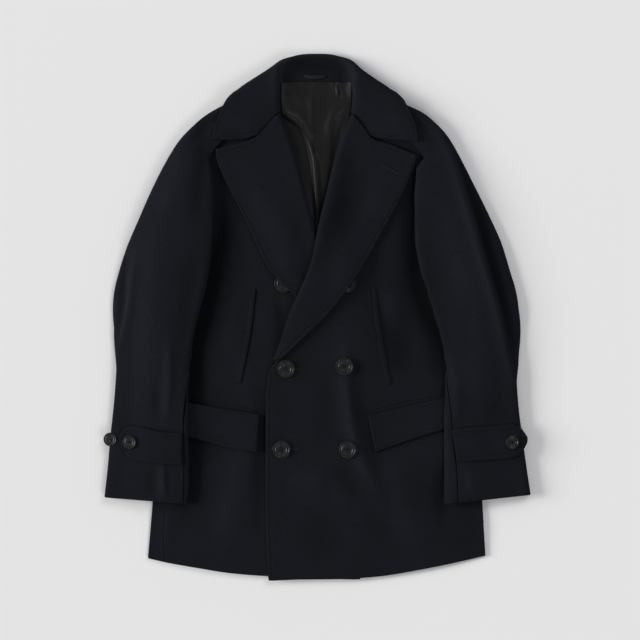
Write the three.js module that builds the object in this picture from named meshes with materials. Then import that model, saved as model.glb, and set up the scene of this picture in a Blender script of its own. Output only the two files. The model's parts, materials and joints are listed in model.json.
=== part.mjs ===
// A double-breasted pea coat that lies flat on its back, front side up. Units are millimetres.
// +X is the wearer's left, +Y runs from the hem to the collar, and +Z is up from the surface.
// Each piece of cloth is a wall: a grid of points on its inner face, moved out by its thickness.

import * as THREE from 'three';
import { mergeVertices } from 'three/addons/utils/BufferGeometryUtils.js';

// Cloth and clearances
const CLOTH = 2.5;
const DOUBLE_CLOTH = 4;
const FACING = 2;
const LINING = 1;
const SEAM_GAP = 0.3;
const INSEAM_GAP = 0.9;
const CROSSING_GAP = 3;
const LAYER_GAP = 0.6;

// Hollow body: the fronts rise from the side seams to a level plateau
const SIDE_HEIGHT = 2.9;
const CHEST_HEIGHT = 10.6;
const CHEST_RISE = 72;

// The collar's fall lies beneath the back, so the neck is raised over it
const NECK_RAISE = 4.9;
const RAISE_START_Y = 298;
const RAISE_END_Y = 326;

// Lapels and facings
const FACING_REACH = 17;
const ROLL_INSET = 7;
const ARM_GAP = 0.9;

// Sleeves
const SEAM_LAP = 4;
const CREASE_SPREAD = 24;
const RAGLAN_LAP = 6;

// Buttons
const FRONT_BUTTON = { radius: 14, height: 3.6, rim: 2.6, dish: 1 };
const CUFF_BUTTON = { radius: 10.75, height: 3.2, rim: 2.1, dish: 0.9 };
const BUTTON_SIDES = 12;

const MELTON = new THREE.MeshStandardMaterial({ color: 0x1b202b, roughness: 0.95, metalness: 0 });
const SATIN = new THREE.MeshStandardMaterial({ color: 0x1e1f20, roughness: 0.4, metalness: 0 });
const HORN = new THREE.MeshStandardMaterial({ color: 0x2b2a29, roughness: 0.35, metalness: 0 });
const TAPE = new THREE.MeshStandardMaterial({ color: 0x22252d, roughness: 0.7, metalness: 0 });

// Small mathematics

const clamp = (value, low, high) => Math.min(Math.max(value, low), high);
const lerp = (from, to, t) => from + (to - from) * t;

function ease(t) {
  const held = clamp(t, 0, 1);
  return held * held * (3 - 2 * held);
}

/** Gives the rows of a table names for their columns. */
function table(columns, rows) {
  return rows.map((row) => Object.fromEntries(columns.map((name, i) => [name, row[i]])));
}

/** A smooth line through points that fall in y, read as x at a height y. */
function lineByHeight(points) {
  const slope = points.map((point, i) => {
    const before = points[Math.max(i - 1, 0)];
    const after = points[Math.min(i + 1, points.length - 1)];
    return (after[0] - before[0]) / (after[1] - before[1]);
  });
  return (y) => {
    if (y >= points[0][1]) return points[0][0];
    const last = points.length - 1;
    if (y <= points[last][1]) return points[last][0];
    const i = points.findIndex((point) => point[1] <= y) - 1;
    const [x0, y0] = points[i];
    const [x1, y1] = points[i + 1];
    const h = y1 - y0;
    const t = (y - y0) / h;
    const a = (1 + 2 * t) * (1 - t) ** 2 * x0 + t * (1 - t) ** 2 * h * slope[i];
    return a + t * t * (3 - 2 * t) * x1 + t * t * (t - 1) * h * slope[i + 1];
  };
}

/** A smooth curve through plan points, read by its share of length. */
function planCurve(points) {
  const curve = new THREE.CatmullRomCurve3(
    points.map(([x, y]) => new THREE.Vector3(x, y, 0)), false, 'centripetal');
  curve.arcLengthDivisions = 400;
  return (share) => curve.getPointAt(clamp(share, 0, 1));
}

/** A point of a path. Its weight says how densely the grid samples the path there. */
function pathPoint(x, y, z, weight = 1) {
  return { x, y, z, weight };
}

/** The length of a path up to each of its points. */
function lengthsAlong(path) {
  const lengths = [0];
  for (let i = 1; i < path.length; i += 1) {
    const a = path[i - 1];
    const b = path[i];
    lengths.push(lengths[i - 1] + Math.hypot(b.x - a.x, b.y - a.y, b.z - a.z));
  }
  return lengths;
}

function pointAtLength(path, lengths, wanted) {
  let i = lengths.findIndex((length) => length >= wanted);
  if (i < 1) i = i === 0 ? 1 : path.length - 1;
  const t = (wanted - lengths[i - 1]) / Math.max(lengths[i] - lengths[i - 1], 1e-9);
  const a = path[i - 1];
  const b = path[i];
  return pathPoint(lerp(a.x, b.x, t), lerp(a.y, b.y, t), lerp(a.z, b.z, t), b.weight);
}

/** The stretch of a path between two lengths. */
function stretch(path, from, to) {
  const lengths = lengthsAlong(path);
  const inner = path.filter((_, i) => lengths[i] > from + 0.01 && lengths[i] < to - 0.01);
  return [pointAtLength(path, lengths, from), ...inner, pointAtLength(path, lengths, to)];
}

/** Spreads grid points over a path, closer together where the path has more weight. */
function resample(path, count) {
  const lengths = lengthsAlong(path);
  const weighted = [0];
  for (let i = 1; i < path.length; i += 1) {
    const weight = (path[i - 1].weight + path[i].weight) / 2;
    weighted.push(weighted[i - 1] + (lengths[i] - lengths[i - 1]) * weight);
  }
  const total = weighted[weighted.length - 1];
  return Array.from({ length: count + 1 }, (_, k) => {
    const wanted = (total * k) / count;
    let i = weighted.findIndex((value) => value >= wanted - 1e-9);
    if (i < 1) i = i === 0 ? 1 : path.length - 1;
    const t = clamp((wanted - weighted[i - 1]) / Math.max(weighted[i] - weighted[i - 1], 1e-9), 0, 1);
    const along = lerp(lengths[i - 1], lengths[i], t);
    const a = path[i - 1];
    const b = path[i];
    const point = new THREE.Vector3(lerp(a.x, b.x, t), lerp(a.y, b.y, t), lerp(a.z, b.z, t));
    point.along = along;
    return point;
  });
}

// Solids

/** Unit normals of a grid, with the named grid point facing up or down. */
function gridNormals(grid, reference) {
  const last = { i: grid.length - 1, j: grid[0].length - 1 };
  const normals = grid.map((row, i) => row.map((_, j) => {
    const along = grid[Math.min(i + 1, last.i)][j].clone().sub(grid[Math.max(i - 1, 0)][j]);
    const across = row[Math.min(j + 1, last.j)].clone().sub(row[Math.max(j - 1, 0)]);
    return across.cross(along).normalize();
  }));
  const facing = normals[reference.i][reference.j].z * reference.up;
  if (facing < 0) normals.forEach((row) => row.forEach((normal) => normal.negate()));
  return normals;
}

/**
 * A closed wall over a grid of points on the cloth's inner face.
 * The outer face lies one thickness further out, and no point goes below the surface.
 */
function wall(grid, thickness, { i = grid.length >> 1, j = grid[0].length >> 1, up = 1, lift = null } = {}) {
  const rows = grid.length;
  const columns = grid[0].length;
  const normals = gridNormals(grid, { i, j, up });
  const positions = [];
  for (const layer of [0, 1]) {
    for (let r = 0; r < rows; r += 1) {
      for (let c = 0; c < columns; c += 1) {
        const raised = lift ? lift(grid[r][c], r, c) : 0;
        const thick = typeof thickness === 'function' ? thickness(grid[r][c], r, c) : thickness;
        const point = grid[r][c].clone().addScaledVector(normals[r][c], raised + layer * thick);
        positions.push(point.x, point.y, Math.max(point.z, 0));
      }
    }
  }
  const at = (layer, r, c) => layer * rows * columns + r * columns + c;
  const triangles = [];
  const quad = (a, b, c, d) => triangles.push(a, b, c, a, c, d);
  for (let r = 0; r < rows - 1; r += 1) {
    for (let c = 0; c < columns - 1; c += 1) {
      quad(at(1, r, c), at(1, r, c + 1), at(1, r + 1, c + 1), at(1, r + 1, c));
      quad(at(0, r, c), at(0, r + 1, c), at(0, r + 1, c + 1), at(0, r, c + 1));
    }
  }
  for (let c = 0; c < columns - 1; c += 1) {
    quad(at(0, 0, c), at(0, 0, c + 1), at(1, 0, c + 1), at(1, 0, c));
    quad(at(1, rows - 1, c), at(1, rows - 1, c + 1), at(0, rows - 1, c + 1), at(0, rows - 1, c));
  }
  for (let r = 0; r < rows - 1; r += 1) {
    quad(at(1, r, 0), at(1, r + 1, 0), at(0, r + 1, 0), at(0, r, 0));
    quad(at(0, r, columns - 1), at(0, r + 1, columns - 1), at(1, r + 1, columns - 1), at(1, r, columns - 1));
  }
  return outwardGeometry(positions, triangles);
}

/** An indexed geometry whose faces point out. */
function outwardGeometry(positions, triangles) {
  const vertex = (k) => new THREE.Vector3(positions[3 * k], positions[3 * k + 1], positions[3 * k + 2]);
  let volume = 0;
  for (let t = 0; t < triangles.length; t += 3) {
    const [a, b, c] = [0, 1, 2].map((k) => vertex(triangles[t + k]));
    volume += a.dot(b.cross(c));
  }
  if (volume < 0) triangles.reverse();
  const geometry = new THREE.BufferGeometry();
  geometry.setAttribute('position', new THREE.Float32BufferAttribute(positions, 3));
  geometry.setIndex(triangles);
  geometry.computeVertexNormals();
  return geometry;
}

const coat = new THREE.Group();
coat.name = 'pea_coat';

function addPiece(name, geometry, material) {
  const piece = new THREE.Mesh(geometry, material);
  piece.name = name;
  coat.add(piece);
  return piece;
}

/** The heights of what lies in a region, on a square raster, so that cloth can be laid over it. */
class Heights {
  static STEP = 3;
  static HALF_X = 372;
  static HALF_Y = 450;

  constructor() {
    this.columns = Math.round((2 * Heights.HALF_X) / Heights.STEP) + 1;
    this.rows = Math.round((2 * Heights.HALF_Y) / Heights.STEP) + 1;
    this.values = new Float32Array(this.columns * this.rows);
  }

  /** Raises the raster to the top of a piece plus a gap. */
  add(piece, gap) {
    piece.updateMatrixWorld();
    const position = piece.geometry.attributes.position;
    const index = piece.geometry.index;
    const vertex = (k) => new THREE.Vector3().fromBufferAttribute(position, k).applyMatrix4(piece.matrixWorld);
    for (let t = 0; t < index.count; t += 3) {
      const [a, b, c] = [0, 1, 2].map((k) => vertex(index.getX(t + k)));
      this.addTriangle(a, b, c, gap);
    }
    return this;
  }

  addTriangle(a, b, c, gap) {
    const area = (b.x - a.x) * (c.y - a.y) - (c.x - a.x) * (b.y - a.y);
    if (Math.abs(area) < 1e-6) return;
    const toColumn = (x) => (x + Heights.HALF_X) / Heights.STEP;
    const toRow = (y) => (y + Heights.HALF_Y) / Heights.STEP;
    for (let row = Math.ceil(toRow(Math.min(a.y, b.y, c.y))); row <= toRow(Math.max(a.y, b.y, c.y)); row += 1) {
      const y = row * Heights.STEP - Heights.HALF_Y;
      const first = Math.ceil(toColumn(Math.min(a.x, b.x, c.x)));
      for (let column = first; column <= toColumn(Math.max(a.x, b.x, c.x)); column += 1) {
        const x = column * Heights.STEP - Heights.HALF_X;
        const u = ((b.x - x) * (c.y - y) - (c.x - x) * (b.y - y)) / area;
        const v = ((c.x - x) * (a.y - y) - (a.x - x) * (c.y - y)) / area;
        if (u < -0.001 || v < -0.001 || u + v > 1.001) continue;
        const z = u * a.z + v * b.z + (1 - u - v) * c.z + gap;
        const k = row * this.columns + column;
        this.values[k] = Math.max(this.values[k], z);
      }
    }
  }

  /** Takes the higher of two rasters everywhere. */
  join(other) {
    this.values.forEach((value, k) => {
      this.values[k] = Math.max(value, other.values[k]);
    });
    return this;
  }

  /** Holds each height over a flat reach, then lets it fall away at a slope. */
  spread(reach, slope) {
    const result = new Heights();
    const steps = Math.ceil(reach / Heights.STEP);
    for (let row = 0; row < this.rows; row += 1) {
      for (let column = 0; column < this.columns; column += 1) {
        let highest = 0;
        for (let dr = -steps; dr <= steps; dr += 1) {
          for (let dc = -steps; dc <= steps; dc += 1) {
            if (Math.hypot(dr, dc) * Heights.STEP > reach + 0.01) continue;
            const r = clamp(row + dr, 0, this.rows - 1);
            const c = clamp(column + dc, 0, this.columns - 1);
            highest = Math.max(highest, this.values[r * this.columns + c]);
          }
        }
        result.values[row * this.columns + column] = highest;
      }
    }
    result.fallAway(slope);
    return result;
  }

  fallAway(slope) {
    const drop = slope * Heights.STEP;
    const relax = (row, column, dr, dc) => {
      const r = row + dr;
      const c = column + dc;
      if (r < 0 || c < 0 || r >= this.rows || c >= this.columns) return;
      const k = row * this.columns + column;
      const fallen = this.values[r * this.columns + c] - drop * Math.hypot(dr, dc);
      this.values[k] = Math.max(this.values[k], fallen);
    };
    for (let row = 0; row < this.rows; row += 1) {
      for (let column = 0; column < this.columns; column += 1) {
        [[-1, -1], [-1, 0], [-1, 1], [0, -1]].forEach(([dr, dc]) => relax(row, column, dr, dc));
      }
    }
    for (let row = this.rows - 1; row >= 0; row -= 1) {
      for (let column = this.columns - 1; column >= 0; column -= 1) {
        [[1, 1], [1, 0], [1, -1], [0, 1]].forEach(([dr, dc]) => relax(row, column, dr, dc));
      }
    }
  }

  at(x, y) {
    const column = clamp((x + Heights.HALF_X) / Heights.STEP, 0, this.columns - 1.001);
    const row = clamp((y + Heights.HALF_Y) / Heights.STEP, 0, this.rows - 1.001);
    const c = Math.floor(column);
    const r = Math.floor(row);
    const read = (dr, dc) => this.values[(r + dr) * this.columns + c + dc];
    const near = lerp(read(0, 0), read(0, 1), column - c);
    return lerp(near, lerp(read(1, 0), read(1, 1), column - c), row - r);
  }
}

// Plan lines, from the wearer's right (-X) to the wearer's left (+X)

const SIDE = {
  right: lineByHeight([[-243, 108], [-251, -52], [-258, -180], [-264, -303], [-268, -340], [-271, -387]]),
  left: lineByHeight([[245, 108], [253, -52], [259, -180], [266, -305], [268, -340], [270, -383]]),
};

const HEM = {
  right: planCurve([[-271, -386], [-235, -394], [-187, -402], [-141, -410], [-83, -414], [-27, -417], [70, -420]]),
  left: planCurve([[270, -382], [197, -398], [149, -407], [109, -414], [69, -417], [45, -419], [-59, -420], [-78, -422]]),
};

const FRONT_EDGE = {
  right: lineByHeight([[73, -60], [72, -180], [70, -420]]),
  left: lineByHeight([[-77, -86], [-81, -110], [-82, -180], [-82, -260], [-82, -340], [-78, -422]]),
};

const ROLL_POINTS = {
  right: [[-58, 328], [-54, 319], [-45, 300], [-30, 253], [-16, 199], [-5, 158], [3, 127], [21, 82], [45, 28],
    [66, -25], [73, -55]],
  left: [[54, 328], [45, 307], [31, 268], [19, 224], [9, 180], [0, 143], [-7, 102], [-24, 54], [-46, 6],
    [-58, -33], [-71, -68]],
};
const ROLL = { right: lineByHeight(ROLL_POINTS.right), left: lineByHeight(ROLL_POINTS.left) };

const LAPEL_EDGE = {
  right: planCurve([[-162, 269], [-162, 242], [-154, 220], [-138, 194], [-118, 161], [-101, 126], [-86, 92],
    [-67, 65], [-34, 33], [-8, 6], [32, -42], [56, -62]]),
  left: planCurve([[159, 260], [160, 241], [148, 216], [125, 170], [98, 124], [67, 70], [46, 41], [18, 6],
    [-6, -18], [-31, -42], [-57, -66]]),
};

const LAPEL_TOP = {
  right: planCurve([[-58, 327], [-72, 322], [-84, 304.5], [-97, 289], [-116, 280], [-146, 273], [-162, 269]]),
  left: planCurve([[54, 327], [67, 317], [80, 295], [86, 286], [120, 276], [142, 266], [159, 260]]),
};

const BREAK_Y = { right: -60, left: -69 };

// The front raglan seams, and the back ones with the same number of points
const RAGLAN_FRONT = {
  right: [[-229, 122], [-211, 174], [-196, 208], [-181, 239], [-169, 263], [-152, 284], [-134, 300],
    [-117, 314], [-101, 325], [-82, 338], [-70, 350]],
  left: [[231, 122], [211, 173], [196, 206], [180, 239], [167, 263], [150, 282], [133, 298],
    [115, 313], [99, 324], [80, 339], [67, 351]],
};
const RAGLAN_BACK = {
  right: [[-235, 122], [-208, 172], [-189, 206], [-170, 235], [-152, 258], [-136, 280], [-122, 298],
    [-109, 314], [-96, 328], [-74, 353], [-53, 375]],
  left: [[236, 122], [208, 172], [189, 206], [168, 235], [150, 258], [134, 280], [120, 298],
    [107, 314], [94, 328], [72, 353], [51, 375]],
};

// Soft folds of the fronts: crest line, width and height, as pressed by the way the coat lies
const FRONT_FOLDS = table(
  ['fromX', 'fromY', 'toX', 'toY', 'width', 'height'],
  [
    [20, -60, 12, -300, 22, -1.2],
    [-104, -60, -112, -330, 20, 1.4],
    [-176, -20, -168, -330, 26, -1.1],
    [150, -20, 158, -320, 30, -1.3],
    [-150, -300, -188, -396, 18, 1.3],
    [120, -320, 150, -404, 24, 1.2],
    [-60, -260, -48, -410, 20, 1.2],
    [-128, 150, -150, 10, 24, -1.2],
    [140, 150, 158, 20, 26, -1.2],
  ],
);

/** The height that the soft folds add at a place. */
function foldHeight(x, y) {
  return FRONT_FOLDS.reduce((sum, fold) => {
    const dx = fold.toX - fold.fromX;
    const dy = fold.toY - fold.fromY;
    const t = clamp(((x - fold.fromX) * dx + (y - fold.fromY) * dy) / (dx * dx + dy * dy), 0, 1);
    const away = Math.hypot(x - fold.fromX - t * dx, y - fold.fromY - t * dy) / fold.width;
    return sum + fold.height * Math.exp(-away * away);
  }, 0);
}

/** How far the back lies above the surface: it is raised over the collar's fall. */
function backHeight(y) {
  return NECK_RAISE * ease((y - RAISE_START_Y) / (RAISE_END_Y - RAISE_START_Y));
}

/** The underside of a front where nothing but the hollow of the body lies beneath. */
function chestHeight(x, y) {
  const fromSide = Math.min(x - SIDE.right(y), SIDE.left(y) - x);
  const rise = ease(fromSide / CHEST_RISE);
  return lerp(SIDE_HEIGHT, CHEST_HEIGHT, rise) + foldHeight(x, y) * rise;
}

// Back panels and lining

// How far the hem drops from the side seam to the centre back, at each column
const BACK_HEM_DROPS = [0, 17.5, 28, 33.5];
const BACK_COLUMNS = BACK_HEM_DROPS.length - 1;
const BACK_ROWS_BELOW = [-382, -336, -286, -232, -176, -118, -60, -2, 50, 92, 108];

/** One back panel, from the side and raglan seams to the centre-back seam. */
function backPanel(side) {
  const sign = side === 'left' ? 1 : -1;
  const outline = BACK_ROWS_BELOW.map((y) => {
    const cornerCut = y > 100 ? 5 : 0.6;
    return [SIDE[side](y) - sign * cornerCut, y];
  });
  RAGLAN_BACK[side].forEach(([x, y]) => outline.push([x - sign * SEAM_GAP, y]));
  const grid = outline.map(([x, y], row) => Array.from({ length: BACK_COLUMNS + 1 }, (_, k) => {
    const px = lerp(x, sign * SEAM_GAP / 2, k / BACK_COLUMNS);
    const hemDrop = row === 0 ? BACK_HEM_DROPS[k] : 0;
    return new THREE.Vector3(px, y - hemDrop, backHeight(y) + CLOTH);
  }));
  return wall(grid, CLOTH, { up: -1 });
}

const backRight = addPiece('back_right', backPanel('right'), MELTON);
const backLeft = addPiece('back_left', backPanel('left'), MELTON);

const LINING_ROWS = [104, 132, 162, 194, 226, 258, 290, 316, 332, 346, 372];
const LINING_COLUMNS = 12;
const LINING_MARGIN = 26;
const LINING_PLEATS = table(
  ['topX', 'bottomX', 'width', 'height'],
  [
    [-7, -2, 4, 1.8],
    [-47, -3, 6, 2.6],
    [24, 6, 7, 1.4],
  ],
);

/** The back lining that shows in the neck, with the pleats that run down to the fronts. */
function backLining() {
  const top = LINING_ROWS[LINING_ROWS.length - 1];
  const backs = new Heights().add(backRight, LAYER_GAP).add(backLeft, LAYER_GAP).spread(7, 0.3);
  const grid = LINING_ROWS.map((y) => {
    const margin = LINING_MARGIN * ease((306 - y) / 40);
    const left = Math.min(ROLL.left(y), 52) + margin;
    const right = Math.max(ROLL.right(y), -54) - margin;
    return Array.from({ length: LINING_COLUMNS + 1 }, (_, k) => {
      const x = lerp(right, left, k / LINING_COLUMNS);
      const down = ease((top - y) / 110);
      const pleats = LINING_PLEATS.reduce((highest, pleat) => {
        const away = (x - lerp(pleat.topX, pleat.bottomX, (top - y) / (top - LINING_ROWS[0]))) / pleat.width;
        return Math.max(highest, pleat.height * Math.exp(-away * away));
      }, 0);
      return new THREE.Vector3(x, y, backs.at(x, y) + pleats * down);
    });
  });
  return wall(grid, LINING);
}

addPiece('lining_back', backLining(), SATIN);

// Fronts

const FRONT_COLUMNS = {
  right: [0, 0.03, 0.07, 0.12, 0.18, 0.26, 0.36, 0.48, 0.61, 0.75, 0.88, 1],
  left: [0, 0.03, 0.07, 0.12, 0.18, 0.26, 0.35, 0.45, 0.52, 0.57, 0.65, 0.77, 0.89, 1],
};
const FRONT_ROWS_BELOW = table(
  ['sideY', 'edgeY'],
  [
    [-384, -421], [-362, -390], [-322, -342], [-276, -292], [-228, -240], [-180, -190], [-132, -142],
    [-92, -106],
  ],
);
const FRONT_ROWS_ABOVE = table(
  ['sideY', 'edgeY', 'cut'], [[-10, -16, 0.6], [30, 24, 0.6], [70, 64, 0.6], [98, 94, 2], [104, 104, 15]]);
const BREAK_ROWS = table(['sideY', 'belowBreak', 'share'], [[-62, 12, 1], [-52, 5, 0]]);

/** The edge of a front above the break, a little inside the fold of its lapel. */
function foldedEdge(side, y) {
  const sign = side === 'left' ? 1 : -1;
  return ROLL[side](y) + sign * ROLL_INSET;
}

/** The rows of a front, from the hem up to the neck, as pairs of end points. */
function frontRows(side) {
  const sign = side === 'left' ? 1 : -1;
  const rowAt = (sideY, edgeY, edgeX, cut = 0.6) => ({
    outer: [SIDE[side](sideY) - sign * cut, sideY],
    inner: [edgeX, edgeY],
  });
  const rows = FRONT_ROWS_BELOW.map(({ sideY, edgeY }) => rowAt(sideY, edgeY, FRONT_EDGE[side](edgeY)));
  BREAK_ROWS.forEach(({ sideY, belowBreak, share }) => {
    const y = BREAK_Y[side] - belowBreak;
    rows.push(rowAt(sideY, y, lerp(foldedEdge(side, y), FRONT_EDGE[side](y), share)));
  });
  FRONT_ROWS_ABOVE.forEach(({ sideY, edgeY, cut }) => {
    rows.push(rowAt(sideY, edgeY, foldedEdge(side, edgeY), cut));
  });
  RAGLAN_FRONT[side].slice(0, -1).forEach(([x, y], k, all) => {
    const edgeY = lerp(128, 330, k / (all.length - 1));
    const lap = k === 0 ? -3 : RAGLAN_LAP;
    rows.push({ outer: [x + sign * lap, y - 2], inner: [foldedEdge(side, edgeY), edgeY] });
  });
  return rows;
}

/** A front panel laid on a height function. */
function frontPanel(side, underside) {
  const hem = HEM[side];
  const grid = frontRows(side).map(({ outer, inner }, row) => FRONT_COLUMNS[side].map((share) => {
    const x = lerp(outer[0], inner[0], share);
    const y = lerp(outer[1], inner[1], share);
    const hemPoint = hem(share);
    const held = row === 0 ? 1 : row === 1 ? 0.5 : 0;
    const straight = lerp(FRONT_ROWS_BELOW[0].sideY, FRONT_ROWS_BELOW[0].edgeY, share);
    const py = y + held * (hemPoint.y - straight);
    const px = row === 0 ? hemPoint.x : x;
    return new THREE.Vector3(px, py, underside(px, py));
  }));
  return wall(grid, CLOTH);
}

const fronts = {};
fronts.right = addPiece('front_right', frontPanel('right', chestHeight), MELTON);

// Pieces that lie on a panel

/** Extends a piece over the heights beneath it, from a plan grid. */
function laidPiece(planGrid, heights, thickness) {
  const grid = planGrid.map((row) => row.map(([x, y]) => new THREE.Vector3(x, y, heights.at(x, y))));
  return wall(grid, thickness);
}

const FLAP_OUTLINE = {
  right: { innerTop: [-92, -155], outerTop: [-222, -134], bottom: [[-96, -215], [-134, -209], [-222, -186]] },
  left: { innerTop: [81, -157], outerTop: [221, -125], bottom: [[93, -215], [149, -196], [221, -173]] },
};
const FLAP_COLUMNS = 10;
const FLAP_ROWS = 4;

/** The plan grid of a pocket flap, from its seam down to its free edge. */
function flapPlan(side) {
  const { innerTop, outerTop, bottom } = FLAP_OUTLINE[side];
  const lower = planCurve(bottom);
  return Array.from({ length: FLAP_ROWS + 1 }, (_, r) => Array.from({ length: FLAP_COLUMNS + 1 }, (__, c) => {
    const share = c / FLAP_COLUMNS;
    const top = [lerp(innerTop[0], outerTop[0], share), lerp(innerTop[1], outerTop[1], share)];
    const low = lower(share);
    return [lerp(top[0], low.x, r / FLAP_ROWS), lerp(top[1], low.y, r / FLAP_ROWS)];
  }));
}

const WELT = {
  right: { top: [-102, 44], bottom: [-126, -105] },
  left: { top: [90, 50], bottom: [115, -108] },
};
const WELT_WIDTH = 8;
const WELT_STEPS = 10;

/** The plan grid of a narrow hand-warmer welt, which bows a little along its length. */
function weltPlan(side) {
  const { top, bottom } = WELT[side];
  const bow = side === 'left' ? -3 : 3;
  return Array.from({ length: WELT_STEPS + 1 }, (_, k) => {
    const t = k / WELT_STEPS;
    const x = lerp(top[0], bottom[0], t) + bow * Math.sin(Math.PI * t);
    const y = lerp(top[1], bottom[1], t);
    return [-0.5, 0.5].map((across) => [x + across * WELT_WIDTH, y]);
  });
}

/** A sew-through button with a raised rim round a dished middle. */
function buttonGeometry({ radius, height, rim, dish }) {
  const profile = [
    [0, 0], [radius - 1.2, 0], [radius, 1], [radius, height - 0.9], [radius - 0.9, height],
    [radius - rim, height], [radius - rim - 1.4, height - dish], [0, height - dish],
  ];
  const lathe = new THREE.LatheGeometry(profile.map(([x, y]) => new THREE.Vector2(x, y)), BUTTON_SIDES);
  lathe.deleteAttribute('normal');
  lathe.deleteAttribute('uv');
  lathe.rotateX(Math.PI / 2);
  const merged = mergeVertices(lathe, 1e-4);
  const positions = Array.from(merged.attributes.position.array);
  const kept = [];
  for (let t = 0; t < merged.index.count; t += 3) {
    const corner = [0, 1, 2].map((k) => merged.index.getX(t + k));
    if (new Set(corner).size === 3) kept.push(...corner);
  }
  return outwardGeometry(positions, kept);
}

/** Sets a button on the highest point beneath it, tilted about Y where the cloth slopes. */
function addButton(name, size, [x, y], heights, tilt = 0) {
  const button = addPiece(name, buttonGeometry(size), HORN);
  let seat = 0;
  for (let k = 0; k < 16; k += 1) {
    for (const share of [0.35, 0.7, 1]) {
      const dx = size.radius * share * Math.cos((k * Math.PI) / 8);
      const dy = size.radius * share * Math.sin((k * Math.PI) / 8);
      seat = Math.max(seat, heights.at(x + dx, y + dy) + dx * Math.tan(tilt));
    }
  }
  button.position.set(x, y, seat);
  button.rotation.y = tilt;
  button.updateMatrixWorld();
  return button;
}

/** Adds the flap and welt of one side. */
function addPockets(side) {
  const on = new Heights().add(fronts[side], 0.45).spread(3, 0.5);
  const flap = addPiece(`flap_${side}`, laidPiece(flapPlan(side), on, DOUBLE_CLOTH), MELTON);
  addPiece(`welt_${side}`, laidPiece(weltPlan(side), on, CLOTH), MELTON);
  return flap;
}

const flaps = { right: addPockets('right') };
const frontRightTop = new Heights().add(fronts.right, 0.35);
const buttonUnderLapel = addButton('button_front_right_top', FRONT_BUTTON, [-54, 54], frontRightTop);

// Lapels

const LAPEL_ROWS = 16;
const LAPEL_COLUMNS = 15;
const LAPEL_LIFT = 3.2;

// A lapel is one layer thick for this length from its inner end, and then grows to two
const FACING_THIN = 10;
const FACING_BLEND = 14;

/** One lapel with its facing: it starts inside the coat, rolls round the front and lies on it. */
function lapel(side, underside, top) {
  const rollCurve = planCurve(ROLL_POINTS[side]);
  const edgeCurve = LAPEL_EDGE[side];
  const topCurve = LAPEL_TOP[side];
  const grid = [];
  for (let k = 0; k <= LAPEL_ROWS; k += 1) {
    const share = k / LAPEL_ROWS;
    const roll = rollCurve(share);
    const edge = edgeCurve(share);
    const out = edge.clone().sub(roll);
    const width = out.length();
    out.normalize();
    const bend = (1 - share) ** 6;
    const lift = LAPEL_LIFT * ease(1 - share / 0.4);
    const plan = (s) => {
      const straight = roll.clone().addScaledVector(out, s);
      const bent = topCurve(s / width).sub(roll.clone().lerp(edge, s / width)).multiplyScalar(bend);
      return s > 0 ? straight.add(bent) : straight;
    };
    const path = [];
    const low = (x, y) => underside(x, y) - ARM_GAP;
    const reach = Math.min(FACING_REACH, width + 6);
    for (const s of [reach, reach * 0.75, reach * 0.5]) {
      const p = roll.clone().addScaledVector(out, s);
      path.push(pathPoint(p.x, p.y, low(p.x, p.y), 1));
    }
    const nearRoll = roll.clone().addScaledVector(out, DOUBLE_CLOTH + 3);
    const zLow = low(nearRoll.x, nearRoll.y);
    const zHigh = Math.max(top.at(nearRoll.x, nearRoll.y), zLow + CLOTH + 2 * ARM_GAP) + lift;
    const radius = (zHigh - zLow) / 2;
    const centre = 3.4 + radius;
    for (let a = 0; a <= 8; a += 1) {
      const angle = -Math.PI / 2 - (Math.PI * a) / 8;
      const p = roll.clone().addScaledVector(out, centre + radius * Math.cos(angle));
      path.push(pathPoint(p.x, p.y, zLow + radius + radius * Math.sin(angle), 3));
    }
    const steps = 14;
    for (let a = 1; a <= steps; a += 1) {
      const s = lerp(centre, width, a / steps);
      const p = plan(s);
      const settle = lift * (1 - 0.35 * ease((s - centre) / 60));
      path.push(pathPoint(p.x, p.y, Math.max(top.at(p.x, p.y) + settle, zHigh - 0.9 * (s - centre)), 1));
    }
    grid.push(resample(path, LAPEL_COLUMNS));
  }
  const thickness = (point) => lerp(FACING, DOUBLE_CLOTH, ease((point.along - FACING_THIN) / FACING_BLEND));
  return wall(grid, thickness, { j: LAPEL_COLUMNS - 3 });
}

const overFrontRight = new Heights().add(fronts.right, 0.5).spread(8, 0.3)
  .join(new Heights().add(buttonUnderLapel, 0.5).spread(14, 0.3));
const lapelRight = addPiece('lapel_right', lapel('right', chestHeight, overFrontRight), MELTON);

const underFrontLeft = new Heights().add(fronts.right, 1).add(lapelRight, 1.3).spread(14, 0.2);

/** The underside of the wearer's left front, which laps over the other one. */
function overlapHeight(x, y) {
  const fromRoll = Math.abs(x - ROLL.left(y));
  const armRoom = (FACING + ARM_GAP) * (1 - ease((fromRoll - 24) / 26)) * ease((y - BREAK_Y.left + 40) / 30);
  return Math.max(chestHeight(x, y), underFrontLeft.at(x, y) + armRoom + foldHeight(x, y) * 0.4);
}

fronts.left = addPiece('front_left', frontPanel('left', overlapHeight), MELTON);
flaps.left = addPockets('left');

const BUTTONS_ON_LEFT_FRONT = table(
  ['name', 'x', 'y'],
  [
    ['button_front_left_top', 47, 54],
    ['button_front_edge_middle', -50, -82],
    ['button_front_left_middle', 44, -78],
    ['button_front_edge_bottom', -57, -211],
    ['button_front_left_bottom', 49, -211],
  ],
);
const frontLeftTop = new Heights().add(fronts.left, 0.35);
const leftButtons = BUTTONS_ON_LEFT_FRONT.map(({ name, x, y }) => addButton(name, FRONT_BUTTON, [x, y], frontLeftTop));

const overFrontLeft = new Heights().add(fronts.left, 0.9).spread(17, 0.3)
  .join(new Heights().add(leftButtons[0], 0.5).spread(12, 0.3));
addPiece('lapel_left', lapel('left', overlapHeight, overFrontLeft), MELTON);

// Sleeves

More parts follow.
